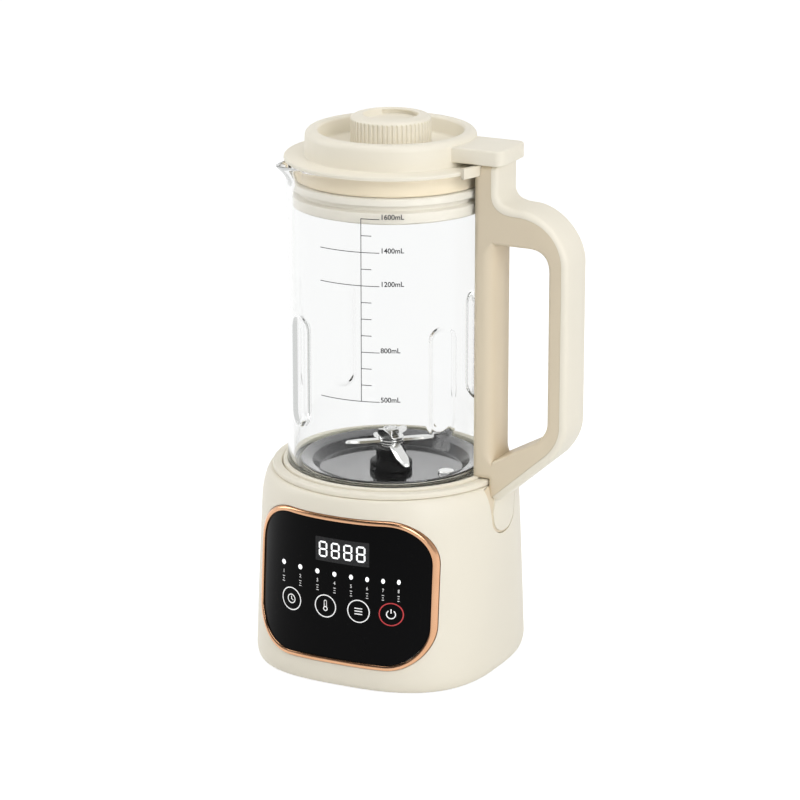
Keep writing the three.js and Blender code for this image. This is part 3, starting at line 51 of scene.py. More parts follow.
CAMERA_TARGET = Vector((-17.35, 2.98, 155.3)) * mm
CAMERA_LENS = 161.05
CAMERA_SENSOR = 36

scene = bpy.context.scene
camera_data = bpy.data.cameras.new("camera")
camera_data.lens = CAMERA_LENS
camera_data.sensor_width = CAMERA_SENSOR
camera = bpy.data.objects.new("camera", camera_data)
camera.location = CAMERA_PLACE
camera.rotation_euler = (CAMERA_TARGET - CAMERA_PLACE).to_track_quat("-Z", "Y").to_euler()
scene.collection.objects.link(camera)
scene.camera = camera
scene.view_settings.view_transform = "Standard"

# Stage: a plain pale floor in a white studio, with soft lamps right, left and above. Floor and walls look
# white to the camera and through glass; in gloss the ceiling and the room behind the camera are greyer.
FLOOR_HALF = 3
FLOOR_COLOUR = (0.82, 0.82, 0.81, 1)
FLOOR_SEEN = (0.35, 0.35, 0.35, 1)
SEEN_WHITE = (1, 1, 1, 1)
FLOOR_GLOW = 0.86
SKY_LIGHT = 0.44
CEILING = {"From Min": 0.24, "From Max": 0.62, "To Min": 1, "To Max": 0.12}
FLOOR_IN_GLOSS = {"From Min": -0.9, "From Max": 0.1, "To Min": 0.3, "To Max": 1}
BEHIND_MACHINE = (-0.446, 0.895, 0)
ROOM_FALL = 0.45
LAMPS = {
    "lamp_right": {"place": (1.42, -0.86, 0.9), "size": (0.8, 1.4), "power": 15},
    "lamp_left": {"place": (-1.6, -0.3, 0.85), "size": (0.7, 1.5), "power": 10},
    "lamp_above": {"place": (0.1, -0.1, 2), "size": (1.2, 1.2), "power": 9},
}


def either_way(operation):
    """The two methods that put a Math node between a Wire and something else, whichever comes first."""
    return (lambda self, other: self.maths(operation, self, other),
            lambda self, other: self.maths(operation, other, self))


class Wire:
    """The output of a node. Arithmetic on it adds Math nodes to its tree."""

    __add__, __radd__ = either_way("ADD")
    __sub__, __rsub__ = either_way("SUBTRACT")
    __mul__, __rmul__ = either_way("MULTIPLY")
    __gt__ = either_way("GREATER_THAN")[0]
    __lt__ = either_way("LESS_THAN")[0]

    def __init__(self, tree, socket):
        self.tree = tree
        self.socket = socket

    def maths(self, operation, *values):
        return self.tree.add("ShaderNodeMath", {"operation": operation}, dict(enumerate(values)))


class Tree:
    """A node tree that grows by one call for each node: its type, its settings, then its sockets."""

    def __init__(self, tree):
        self.tree = tree
        tree.nodes.clear()

    def add(self, kind, settings=None, sockets=None, output=0):
        node = self.tree.nodes.new(kind)
        for name, value in (settings or {}).items():
            if name == "stops":
                for stop, (place, colour) in zip(node.color_ramp.elements, value):
                    stop.position, stop.color = place, colour
            else:
                setattr(node, name, value)
        for name, value in (sockets or {}).items():
            if isinstance(value, Wire):
                self.tree.links.new(value.socket, node.inputs[name])
            else:
                node.inputs[name].default_value = value
        return Wire(self, node.outputs[output]) if node.outputs else None


class Finish(Tree):
    """The shader of one material. Its place is the piece's own coordinates, in metres."""

    def __init__(self, name):
        self.material = bpy.data.materials.new(name)
        self.material.use_nodes = True
        super().__init__(self.material.node_tree)
        self.place = self.add("ShaderNodeTexCoord", output="Object")

    def noise(self, scale, detail=2, place=None):
        return self.add("ShaderNodeTexNoise", {}, {
            "Vector": place or self.place, "Scale": scale, "Detail": detail})

    def blend(self, share, low, high):
        return self.add("ShaderNodeMix", {"data_type": "RGBA"}, {0: share, 6: low, 7: high}, output=2)

    def bump(self, height, distance, strength=1.0):
        return self.add("ShaderNodeBump", {}, {"Height": height, "Distance": distance, "Strength": strength})

    def close(self, shader):
        self.add("ShaderNodeOutputMaterial", {}, {"Surface": shader})
        return self.material

    def painted(self, sockets):
        return self.close(self.add("ShaderNodeBsdfPrincipled", {}, sockets))


def seen_directly(tree):
    """1 for rays that reach the camera straight, by gloss or through glass, and 0 for the light itself."""
    rays = [tree.add("ShaderNodeLightPath", output=f"Is {kind} Ray")
            for kind in ("Camera", "Glossy", "Transmission")]
    return rays[0].maths("MAXIMUM", rays[0].maths("MAXIMUM", rays[0], rays[1]), rays[2])


floor_finish = Finish("pale_floor")
floor_clouds = floor_finish.noise(6, 3) * 0.02
floor_light = floor_finish.add("ShaderNodeBsdfDiffuse", {}, {
    "Color": floor_finish.blend(seen_directly(floor_finish) - floor_clouds, FLOOR_COLOUR, FLOOR_SEEN)})
floor_depth = floor_finish.add("ShaderNodeSeparateXYZ", {}, {"Vector": floor_finish.place}, "Y")
front_dim = 1 - floor_finish.add("ShaderNodeMapRange", {}, {"Value": floor_depth, **FLOOR_IN_GLOSS})
floor_gloss = floor_finish.add("ShaderNodeLightPath", output="Is Glossy Ray")
floor_glow = floor_finish.add("ShaderNodeEmission", {}, {
    "Color": SEEN_WHITE,
    "Strength": seen_directly(floor_finish) * FLOOR_GLOW * (1 - floor_gloss * front_dim)})
floor_in_glass = floor_finish.add("ShaderNodeEmission", {}, {"Color": SEEN_WHITE, "Strength": 1})
floor_finish.close(floor_finish.add("ShaderNodeMixShader", {}, {
    0: floor_finish.add("ShaderNodeLightPath", output="Is Transmission Ray"),
    1: floor_finish.add("ShaderNodeAddShader", {}, {0: floor_light, 1: floor_glow}), 2: floor_in_glass}))

bpy.ops.mesh.primitive_plane_add(size=2 * FLOOR_HALF)
floor = bpy.context.active_object
floor.name = "floor"
floor.data.materials.append(floor_finish.material)

world = bpy.data.worlds.new("studio")
scene.world = world
world.use_nodes = True
sky = Tree(world.node_tree)
by_eye, in_gloss, through_glass = [sky.add("ShaderNodeLightPath", output=f"Is {kind} Ray")
                                   for kind in ("Camera", "Glossy", "Transmission")]
heading = sky.add("ShaderNodeTexCoord", output="Generated")
upwards = sky.add("ShaderNodeSeparateXYZ", {}, {"Vector": heading}, "Z")
behind = sky.add("ShaderNodeVectorMath", {"operation": "DOT_PRODUCT"}, {
    0: heading, 1: BEHIND_MACHINE}, "Value")
walls = sky.add("ShaderNodeMapRange", {"interpolation_type": "SMOOTHSTEP"}, {"Value": upwards, **CEILING})
glossy_room = in_gloss * walls * (1 - ROOM_FALL + behind * ROOM_FALL) + (1 - in_gloss) * SKY_LIGHT
sky_light = by_eye + (1 - by_eye) * (through_glass + (1 - through_glass) * glossy_room)
sky_shader = sky.add("ShaderNodeBackground", {}, {"Color": SEEN_WHITE, "Strength": sky_light})
sky.add("ShaderNodeOutputWorld", {}, {"Surface": sky_shader})

for name, form in LAMPS.items():
    lamp_data = bpy.data.lights.new(name, "AREA")
    lamp_data.shape = "RECTANGLE"
    lamp_data.size, lamp_data.size_y = form["size"]
    lamp_data.energy = form["power"]
    lamp = bpy.data.objects.new(name, lamp_data)
    lamp.location = form["place"]
    lamp.rotation_euler = (CAMERA_TARGET - lamp.location).to_track_quat("-Z", "Y").to_euler()
    scene.collection.objects.link(lamp)

# Base housing: one shell moulded in satin cream plastic. Its plan is a squared oval at the table and a
# circle under the jug's seat. The panel's recess, the handle's notch and the openings are cut from it.
HOUSING_HALF_WIDTH = 73.9 * mm
HOUSING_DEPTH_SHARE = 72.4 / 73.9
HOUSING_BOTTOM = 0.8 * mm
HOUSING_TOP = 116 * mm
HOUSING_EDGE = (3.6 * mm, 9 * mm)
HOUSING_SHOULDER = (3.3 * mm, 14 * mm)
HOUSING_WALL = 3 * mm
HOUSING_MOUTH = 66.5 * mm
HOUSING_RIM = (2.4 * mm, 6 * mm, 9 * mm)
SQUARENESS = {"low": 2.84, "high": 2.25, "round": 2}
RECESS_DEPTH = 1.6 * mm
PLAY = 0.3 * mm
PANEL_X = 57.5 * mm
PANEL_Z = (15 * mm, 105 * mm)
PANEL_CORNER = 27 * mm
NOTCH_BACK = 68.6 * mm
NOTCH_HALF_WIDTHS = (19 * mm, 15 * mm)
NOTCH_Z = (116 * mm, 96 * mm, 85 * mm)
REAR_SLOTS = 5
REAR_SLOT_HALF_WIDTH = 21 * mm
REAR_SLOT_HEIGHT = 2.6 * mm
REAR_SLOT_PITCH = 7 * mm
REAR_SLOT_LOWEST = 52 * mm
INLET_HALF = (13.5 * mm, 9.8 * mm)
INLET_CENTRE_Z = 24 * mm
INLET_CORNER = 1.8 * mm
OVERRUN = 4 * mm
OUTSIDE = 90 * mm
REAR_CUT = 40 * mm
FINE_STEPS = 192
WELD = 0.0005 * mm
SHARP_ANGLE = math.radians(32)
CREAM = (0.87, 0.82, 0.7)


def squareness(z):
    low = HOUSING_BOTTOM + HOUSING_EDGE[1]
    high = HOUSING_TOP - HOUSING_SHOULDER[1]
    if z <= high:
        share = max(0, (z - low) / (high - low))
        return SQUARENESS["low"] + (SQUARENESS["high"] - SQUARENESS["low"]) * share
    rise = min(1, (z - high) / HOUSING_SHOULDER[1])
    return SQUARENESS["high"] + (SQUARENESS["round"] - SQUARENESS["high"]) * rise


def depth_share(z):
    rise = min(1, max(0, (z - HOUSING_TOP + HOUSING_SHOULDER[1]) / HOUSING_SHOULDER[1]))
    return HOUSING_DEPTH_SHARE + (1 - HOUSING_DEPTH_SHARE) * rise ** 2


def squared(radius, angle, z):
    """Turns a half-width of the housing into its radius in one direction."""
    power = squareness(z)
    across = abs(math.cos(angle)) ** power
    deep = (abs(math.sin(angle)) / depth_share(z)) ** power
    return radius * (across + deep) ** (-1 / power)


def arc(start, end, corner, steps=8):
    """Quarter of an ellipse from start to end, bulging towards the corner."""
    points = []
    for i in range(steps + 1):
        along = math.sin(math.pi / 2 * i / steps)
        back = 1 - math.cos(math.pi / 2 * i / steps)
        points.append(tuple(s + (c - s) * along + (e - c) * back for s, e, c in zip(start, end, corner)))
    return points


def levels(low, high, count):
    return [low + (high - low) * i / count for i in range(count + 1)]


def housing_side(outset):
    """Half-widths of the housing's outside from the table edge to the top edge."""
    half = HOUSING_HALF_WIDTH + outset
    low = HOUSING_BOTTOM + HOUSING_EDGE[1]
    high = HOUSING_TOP - HOUSING_SHOULDER[1]
    edge = arc((half - HOUSING_EDGE[0], HOUSING_BOTTOM), (half, low), (half, HOUSING_BOTTOM))
    shoulder = arc((half, high), (half - HOUSING_SHOULDER[0], HOUSING_TOP), (half, HOUSING_TOP))
    return edge[:-1] + [(half, z) for z in levels(low, high, 14)] + shoulder[1:]


def polar(reach, angle):
    return reach * math.cos(angle), reach * math.sin(angle)


def fill(mesh, shape):
    """Welds a bmesh's doubled points, turns its faces outwards and writes it into a mesh."""
    bmesh.ops.remove_doubles(shape, verts=shape.verts, dist=WELD)
    bmesh.ops.recalc_face_normals(shape, faces=shape.faces)
    shape.to_mesh(mesh)
    shape.free()


def new_piece(name, shape):
    """A new object at the origin from a bmesh, which is used up."""
    mesh = bpy.data.meshes.new(name)
    fill(mesh, shape)
    piece = bpy.data.objects.new(name, mesh)
    scene.collection.objects.link(piece)
    return piece


def lathe(name, outline, steps=96, bend=None):
    """A closed outline of (radius, height) points turned about the jug's axis."""
    shape = bmesh.new()
    rows = []
    for k in range(steps):
        angle = 2 * math.pi * k / steps
        row = []
        for radius, z in outline:
            reach = bend(radius, angle, z) if bend and radius else radius
            row.append(shape.verts.new(AXIS + Vector((*polar(reach, angle), z))))
        rows.append(row)
    for row, after in zip(rows, rows[1:] + rows[:1]):
        for i in range(len(outline)):
            j = (i + 1) % len(outline)
            corners = [row[i], row[j], after[j], after[i]]
            if not outline[j][0]:
                corners.remove(after[j])
            if not outline[i][0]:
                corners.remove(after[i])
            if len(corners) > 2:
                shape.faces.new(corners)
    if any(not radius for radius, _ in outline):
        pole = [v for v in shape.verts if (v.co - AXIS).xy.length < 1e-9]
        bmesh.ops.remove_doubles(shape, verts=pole, dist=WELD)
    return new_piece(name, shape)


def rounded(corners, steps=5):
    """A closed outline through (across, up, rounding) corners, with an arc at each rounded one."""
    outline = []
    for i, (across, up, radius) in enumerate(corners):
        here = Vector((across, up))
        if not radius:
            outline.append((across, up))
            continue
        before = (Vector(corners[i - 1][:2]) - here).normalized()
        after = (Vector(corners[(i + 1) % len(corners)][:2]) - here).normalized()
        half = before.angle(after) / 2
        centre = here + (before + after).normalized() * radius / math.sin(half)
        start = here + before * radius / math.tan(half) - centre
        end = here + after * radius / math.tan(half) - centre
        sweep = math.pi - 2 * half
        for k in range(steps + 1):
            turn = sweep * k / steps
            point = centre + (start * math.sin(sweep - turn) + end * math.sin(turn)) / math.sin(sweep)
            outline.append((point.x, point.y))
    return outline


def turned(name, corners, steps=96, bend=None):
    """Rounded corners turned about the jug's axis."""
    return lathe(name, rounded(corners), steps, bend)


def joined_rows(shape, points):
    """Faces between closed rows of points, each row joined to the next."""
    rows = [[shape.verts.new(point) for point in row] for row in points]
    for low, high in zip(rows, rows[1:]):
        for i in range(len(low)):
            shape.faces.new([low[i - 1], low[i], high[i], high[i - 1]])
    return rows


def stacked(name, points):
    """A closed body through rows of points counted from the jug's axis."""
    shape = bmesh.new()
    rows = joined_rows(shape, [[AXIS + Vector(point) for point in row] for row in points])
    shape.faces.new(rows[0])
    shape.faces.new(rows[-1][::-1])
    return new_piece(name, shape)


def drawn(outline, depth, along):
    """A drawing set at a depth: in x and y for depths up z, in x and z for y, and in y and z for x."""
    return [{"z": (u, v, depth), "y": (u, depth, v), "x": (depth, u, v)}[along] for u, v in outline]


def prism(name, outline, low, high, along="z"):
    """An outline pulled straight through a thickness."""
    return stacked(name, [drawn(outline, low, along), drawn(outline, high, along)])


def block(name, x0, x1, half, z0, z1):
    """A block that reaches as far to the front of the axis as to the rear."""
    return prism(name, [(x0, -half), (x1, -half), (x1, half), (x0, half)], z0, z1)


def sector(heading, half_angle, low, high):
    """A wedge that widens from the axis outwards, which picks one stretch of a ring."""
    sides = [polar(OUTSIDE, math.radians(heading + side * half_angle)) for side in (-1, 1)]
    return prism("sector", [(0, 0)] + sides, low, high)


def push(piece, x, y=0):
    piece.data.transform(Matrix.Translation((x, y, 0)))


def settle(piece):
    """Turns what the piece's modifiers show into its plain mesh."""
    shown = piece.evaluated_get(bpy.context.evaluated_depsgraph_get())
    mesh = bpy.data.meshes.new_from_object(shown)
    piece.modifiers.clear()
    piece.data = mesh
    return piece


def carve(piece, tool, how="DIFFERENCE"):
    """Cuts a piece by a tool, joins them, or keeps what they share. The tool is used up."""
    modifier = piece.modifiers.new("carve", "BOOLEAN")
    modifier.operation = how
    modifier.solver = "EXACT"
    modifier.object = tool
    settle(piece)
    bpy.data.objects.remove(tool)
    return piece


def tube_tool(radius, z0, z1, inner=0):
    return lathe("tube", [(inner, z0), (radius, z0), (radius, z1), (inner, z1)], FINE_STEPS)


def rounded_box(x0, x1, z0, z1, radius, steps=8):
    return rounded([(x0, z0, radius), (x1, z0, radius), (x1, z1, radius), (x0, z1, radius)], steps)


def opening(x, z, half_x, half_z, corner):
    """The outline of a rounded opening about its middle."""
    return rounded_box(x - half_x, x + half_x, z - half_z, z + half_z, corner)


def panel_outline(inset, steps=16):
    return rounded_box(-PANEL_X + inset, PANEL_X - inset, PANEL_Z[0] + inset, PANEL_Z[1] - inset,
                       PANEL_CORNER - inset, steps)


def notch_outline(play, top):
    """The handle's notch in y and z: straight flanks that close in downwards, and a half-round end."""
    slope = (NOTCH_HALF_WIDTHS[0] - NOTCH_HALF_WIDTHS[1]) / (NOTCH_Z[0] - NOTCH_Z[1])
    wide = NOTCH_HALF_WIDTHS[0] + (top - NOTCH_Z[0]) * slope - play
    low = NOTCH_HALF_WIDTHS[1] - play
    end = NOTCH_Z[1] - NOTCH_Z[2] - play
    turns = [math.pi * k / 24 for k in range(25)]
    return [(wide, top), (-wide, top)] + [
        (-low * math.cos(turn), NOTCH_Z[1] - end * math.sin(turn)) for turn in turns]


def group_socket(group, name, kind, way="INPUT"):
    return group.interface.new_socket(name, in_out=way, socket_type=kind).identifier


# One Geometry Nodes tree makes every row and ring of like things on the machine: copies of a piece, each a
# step further on and turned further round an upright axis than the one before.
repeat_group = bpy.data.node_groups.new("row_or_ring", "GeometryNodeTree")
repeat_inputs = {name: group_socket(repeat_group, name, kind) for name, kind in {
    "Geometry": "NodeSocketGeometry",
    "Piece": "NodeSocketObject",
    "Count": "NodeSocketInt",
    "Step": "NodeSocketVector",
    "Turn": "NodeSocketFloat",
    "Axis": "NodeSocketVector",
}.items()}
group_socket(repeat_group, "Geometry", "NodeSocketGeometry", "OUTPUT")
repeat_tree = Tree(repeat_group)


def repeat_input(name):
    return repeat_tree.add("NodeGroupInput", output=name)


piece_geometry = repeat_tree.add("GeometryNodeObjectInfo", {}, {"Object": repeat_input("Piece")}, "Geometry")
away_from_axis = repeat_tree.add("ShaderNodeVectorMath", {"operation": "SCALE"}, {
    0: repeat_input("Axis"), "Scale": -1})
centred_piece = repeat_tree.add("GeometryNodeTransform", {}, {
    "Geometry": piece_geometry, "Translation": away_from_axis})
row_points = repeat_tree.add("GeometryNodeMeshLine", {"mode": "OFFSET"}, {
    "Count": repeat_input("Count"), "Start Location": repeat_input("Axis"), "Offset": repeat_input("Step")})
turns = repeat_tree.add("ShaderNodeCombineXYZ", {}, {
    "Z": repeat_tree.add("GeometryNodeInputIndex") * repeat_input("Turn")})
copies = repeat_tree.add("GeometryNodeInstanceOnPoints", {}, {
    "Points": row_points, "Instance": centred_piece, "Rotation": turns})
real_copies = repeat_tree.add("GeometryNodeRealizeInstances", {}, {"Geometry": copies})
repeat_tree.add("NodeGroupOutput", {}, {"Geometry": real_copies})


def repeat(one, count, step=(0, 0, 0), turn=0):
    """The row or ring made from one piece, which is used up."""
    whole = bpy.data.objects.new(one.name + "_row", bpy.data.meshes.new(one.name))
    scene.collection.objects.link(whole)
    modifier = whole.modifiers.new("row", "NODES")
    modifier.node_group = repeat_group
    values = {"Piece": one, "Count": count, "Step": step, "Turn": turn, "Axis": AXIS}
    for name, value in values.items():
        modifier[repeat_inputs[name]] = value
    settle(whole)
    bpy.data.objects.remove(one)
    return whole


def tone(colour, factor):
    """A colour made lighter or darker, as a socket wants it."""
    return tuple(channel * factor for channel in colour) + (1,)


def moulded(name, colour, roughness, grain=0.012, cloud=0.03, gloss=0.4):
    """Satin moulded plastic: faint clouds from the melt, a fine eroded grain and slightly uneven gloss."""
    finish = Finish(name)
    clouds = finish.noise(14, 4)
    specks = finish.noise(1800, 2)
    ripple = finish.noise(160, 2)
    colours = finish.blend(clouds * 0.7 + specks * 0.3, tone(colour, 1 - cloud), tone(colour, 1 + cloud))
    return finish.painted({
        "Base Color": colours,
        "Roughness": roughness + (clouds - 0.5) * 0.1 + (specks - 0.5) * 0.08,
        "Specular IOR Level": gloss,
        "Normal": finish.bump(specks + ripple * 2, grain * mm),
    })


def hand_over(piece, body, finish, nodes=(), sharp=SHARP_ANGLE):
    """Gives a finished piece its surface and shading and its body, and hides the solids it stands for."""
    shape = bmesh.new()
    shape.from_mesh(piece.data)
    fill(piece.data, shape)
    piece.data.materials.clear()
    piece.data.materials.append(finish)
    piece.data.shade_smooth()
    piece.data.set_sharp_from_angle(angle=sharp)
    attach(piece, body)
    if nodes:
        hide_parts(*nodes)
    return piece


cream = moulded("cream_plastic", CREAM, 0.42)

inner_half = HOUSING_HALF_WIDTH - HOUSING_WALL
rim_half = HOUSING_HALF_WIDTH - HOUSING_EDGE[0] - HOUSING_RIM[0]
housing_inside = [
    (HOUSING_MOUTH, HOUSING_TOP),
    (HOUSING_MOUTH, HOUSING_TOP - HOUSING_WALL),
    (inner_half - HOUSING_SHOULDER[0], HOUSING_TOP - HOUSING_WALL),
    (inner_half, HOUSING_TOP - HOUSING_SHOULDER[1]),
    (inner_half, HOUSING_RIM[2]),
    (rim_half, HOUSING_RIM[1]),
    (rim_half, HOUSING_BOTTOM),
]
housing = lathe("base_housing", housing_side(0) + housing_inside, FINE_STEPS, squared)
recess = lathe("recess", housing_side(OVERRUN) + housing_side(-RECESS_DEPTH)[::-1], FINE_STEPS, squared)
carve(recess, prism("recess_front", panel_outline(-PLAY), -OUTSIDE, 0, "y"), "INTERSECT")
carve(housing, recess)
carve(housing, prism("notch", notch_outline(0, HOUSING_TOP + OVERRUN), NOTCH_BACK, OUTSIDE, "x"))
slot_outline = rounded_box(-REAR_SLOT_HALF_WIDTH, REAR_SLOT_HALF_WIDTH, REAR_SLOT_LOWEST,
                           REAR_SLOT_LOWEST + REAR_SLOT_HEIGHT, REAR_SLOT_HEIGHT * 0.49)
rear_slot = prism("rear_slot", slot_outline, REAR_CUT, OUTSIDE, "y")
carve(housing, repeat(rear_slot, REAR_SLOTS, (0, 0, REAR_SLOT_PITCH)))
inlet_hole = opening(0, INLET_CENTRE_Z, INLET_HALF[0] + PLAY, INLET_HALF[1] + PLAY, INLET_CORNER)
carve(housing, prism("inlet_hole", inlet_hole, REAR_CUT, OUTSIDE, "y"))
hand_over(housing, "base", cream, ["base_shell"])

# Underside: a dark plate with a ring of air slots closes the base from below. Three pan-head screws hold it
# to posts of the housing, and four rubber feet are pressed on near its corners.
PLATE_Z = (2.8 * mm, 5.2 * mm)
PLATE_SLOTS = 10
PLATE_SLOT_REACH = (12 * mm, 25 * mm)
PLATE_SLOT_HALF = 2.5 * mm
PLATE_SLOT_CORNER = 2.4 * mm
SCREW_ANGLES = (45, 135, 270)
SCREW_INSET = 3.6 * mm
SCREW_HEAD = (3 * mm, 1.4 * mm)
SCREW_SHANK = (1.5 * mm, 19 * mm)
SCREW_RECESS = (1.7 * mm, 0.35 * mm, 0.8 * mm)
FOOT_RADIUS = 8 * mm
FOOT_X = 42 * mm
FOOT_Y = 40 * mm

near_black = moulded("dark_plastic", (0.022, 0.023, 0.025), 0.5, grain=0.03, cloud=0.12)
grey_rubber = Finish("grey_rubber")
bloom = grey_rubber.noise(120, 5)
grey_rubber = grey_rubber.painted({
    "Base Color": grey_rubber.blend(bloom, (0.12, 0.12, 0.116, 1), (0.1875, 0.1875, 0.18125, 1)),
    "Roughness": 0.78 + (bloom - 0.5) * 0.2,
    "Specular IOR Level": 0.3,
    "Normal": grey_rubber.bump(grey_rubber.noise(2600, 1) + bloom, 0.05 * mm)})


def steel_like(name, colour, roughness, lines=(1, 1, 1), depth=0.004):
    """Bare metal with fine lines that run along the axis whose scale is smallest."""
    finish = Finish(name)
    stretched = finish.add("ShaderNodeMapping", {}, {"Vector": finish.place, "Scale": lines})
    scratches = finish.noise(900, 4, stretched)
    clouds = finish.noise(60, 3)
    return finish.painted({
        "Base Color": finish.blend(scratches * 0.5 + clouds * 0.5, tone(colour, 0.9), tone(colour, 1.06)),
        "Metallic": 1,
        "Roughness": roughness + (scratches - 0.5) * 0.12 + (clouds - 0.5) * 0.08,
        "Normal": finish.bump(scratches, depth * mm),
    })


plate_half = rim_half - PLAY
plate = turned("underside_plate", [
    (0, PLATE_Z[0], 0), (plate_half, PLATE_Z[0], 0.5 * mm), (plate_half, PLATE_Z[1], 0), (0, PLATE_Z[1], 0),
], FINE_STEPS, squared)
slot = prism("slot", rounded_box(*PLATE_SLOT_REACH, -PLATE_SLOT_HALF, PLATE_SLOT_HALF, PLATE_SLOT_CORNER),
             0, PLATE_Z[1] + OVERRUN)
carve(plate, repeat(slot, PLATE_SLOTS, turn=2 * math.pi / PLATE_SLOTS))
hand_over(plate, "base", near_black, ["bottom_plate"])

head_top = PLATE_Z[0] - PLAY
foot = turned("rubber_feet", [
    (0, 0, 0), (FOOT_RADIUS, 0, 1 * mm), (FOOT_RADIUS, head_top, 0.3 * mm), (0, head_top, 0)], 48)
push(foot, -FOOT_X, -FOOT_Y)
feet = repeat(repeat(foot, 2, (2 * FOOT_X, 0, 0)), 2, (0, 2 * FOOT_Y, 0))
hand_over(feet, "base", grey_rubber, [f"foot_{i}" for i in range(1, 5)])

plated = steel_like("plated_screws", (0.62, 0.62, 0.6), 0.3)
head_low = head_top - SCREW_HEAD[1]
for i, angle in enumerate(SCREW_ANGLES, 1):
    turn = math.radians(angle)
    reach = squared(rim_half, turn, PLATE_Z[1]) - SCREW_INSET
    screw = turned(f"plate_screw_{i}", [
        (0, head_low, 0), (SCREW_HEAD[0], head_low, 0.7 * mm), (SCREW_HEAD[0], head_top, 0),
        (SCREW_SHANK[0], head_top, 0), (*SCREW_SHANK, 0), (0, SCREW_SHANK[1], 0)], 40)
    for half_x, half_y in (SCREW_RECESS[:2], SCREW_RECESS[1::-1]):
        carve(screw, block("cross", -half_x, half_x, half_y, head_low - OVERRUN, head_low + SCREW_RECESS[2]))
    push(screw, *polar(reach, turn))
    hand_over(screw, "base", plated, [f"base_screw_{i}"])

# Motor: a universal motor that hangs between two cast brackets under the seat. Stator and armature are packs
# of thin iron sheet with enamelled copper coils, and the fan is pressed on the steel shaft.
COPPER = ((0.42, 0.13, 0.045, 1), (0.72, 0.30, 0.12, 1))
IRON = ((0.20, 0.205, 0.21, 1), (0.36, 0.365, 0.375, 1))


def dress(finish, *names):
    """Gives CAD nodes that keep their shape their finish."""
    for name in names:
        for material_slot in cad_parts[name].material_slots:
            material_slot.material = finish


def layered(name, colours, metallic, roughness, pitch, depth):
    """Sheets or wires that lie on one another up the axis, each a little different."""
    finish = Finish(name)
    layers = finish.add("ShaderNodeTexWave", {"bands_direction": "Z"}, {
        "Vector": finish.place, "Scale": math.pi / 10 / pitch, "Distortion": 1.2, "Detail Scale": 40})
    stains = finish.noise(110, 4)
    return finish.painted({
        "Base Color": finish.blend(layers * 0.4 + stains * 0.6, *colours),
        "Metallic": metallic,
        "Roughness": roughness + stains * 0.2,
        "Normal": finish.bump(layers, depth)})


dress(layered("iron_sheets", IRON, 0.9, 0.42, 0.7 * mm, 0.12 * mm), "motor_stator")
dress(layered("copper_wire", COPPER, 0.85, 0.28, 0.8 * mm, 0.2 * mm), "field_coil_left", "field_coil_right",
      "motor_armature")
cast_metal = Finish("cast_metal")
casting_skin = cast_metal.noise(420, 5)
cast_metal = cast_metal.painted({
    "Base Color": cast_metal.blend(casting_skin, *IRON), "Metallic": 0.85,
    "Roughness": 0.45 + casting_skin * 0.3, "Normal": cast_metal.bump(casting_skin, 0.08 * mm)})
dress(cast_metal, "lower_motor_bracket", "upper_motor_bracket")
turned_steel = steel_like("turned_steel", (0.68, 0.68, 0.67), 0.24, (1, 1, 40), 0.008)
dress(turned_steel, "lower_motor_bearing", "upper_motor_bearing", "motor_shaft")
dress(near_black, "brush_holder_left", "brush_holder_right", "cooling_fan")

# Lower half of the coupling: a black nylon disc pressed on the motor's shaft, with a four-lobed socket in its
# top that the jug's half drops into.
COUPLING_RADIUS = 14.5 * mm
COUPLING_Z = (84 * mm, 98 * mm)
LOBE_REACH = 9.8 * mm
LOBE_HALF = 3.2 * mm
LOBE_CORE = 6.4 * mm
LOBE_CORNER = 1.4 * mm
LOBE_LOW = 90.3 * mm
LOBE_PLAY = 0.5 * mm
MOTOR_SHAFT_BORE = 4.3 * mm
MOTOR_SHAFT_TOP = 93.5 * mm


def star(name, play, low, high):
    """Four rounded lobes round a core."""
    whole = lathe(name, [(0, low), (LOBE_CORE + play, low), (LOBE_CORE + play, high), (0, high)], 96)
    reach, half = LOBE_REACH + play, LOBE_HALF + play
    for across, deep in ((reach, half), (half, reach)):
        carve(whole, prism("lobes", opening(0, 0, across, deep, LOBE_CORNER), low, high), "UNION")
    return whole


def soften(piece, width, steps=3):
    """Rounds a piece's sharp rims."""
    bevel = piece.modifiers.new("rims", "BEVEL")
    bevel.width, bevel.segments = width, steps
    bevel.limit_method, bevel.angle_limit = "ANGLE", math.radians(50)
    return settle(piece)


lower_coupling = turned("motor_coupling", [
    (0, COUPLING_Z[0], 0), (COUPLING_RADIUS, COUPLING_Z[0], 0.6 * mm),
    (COUPLING_RADIUS, COUPLING_Z[1], 1.2 * mm), (0, COUPLING_Z[1], 0)])
carve(lower_coupling, star("lobe_socket", LOBE_PLAY, LOBE_LOW - LOBE_PLAY, COUPLING_Z[1] + OVERRUN))
carve(lower_coupling, tube_tool(MOTOR_SHAFT_BORE, COUPLING_Z[0] - OVERRUN, MOTOR_SHAFT_TOP + PLAY))
hand_over(lower_coupling, "rotor", near_black, ["drive_coupling"])

# Boards, socket, guide and lead inlet: green glass-fibre boards behind the panel and above the inlet, a black
# socket for the jug's plug, a cream guide behind the handle's notch, and an inlet with three plated pins.
INLET_MOUTH = 72.1 * mm
INLET_BACK = INLET_MOUTH - 18 * mm
INLET_WALL = 1.8 * mm
INLET_PINS = {"live": (-7 * mm, -2 * mm), "earth": (0, 2 * mm), "neutral": (7 * mm, -2 * mm)}
INLET_PIN_HALF = (1 * mm, 2.4 * mm)

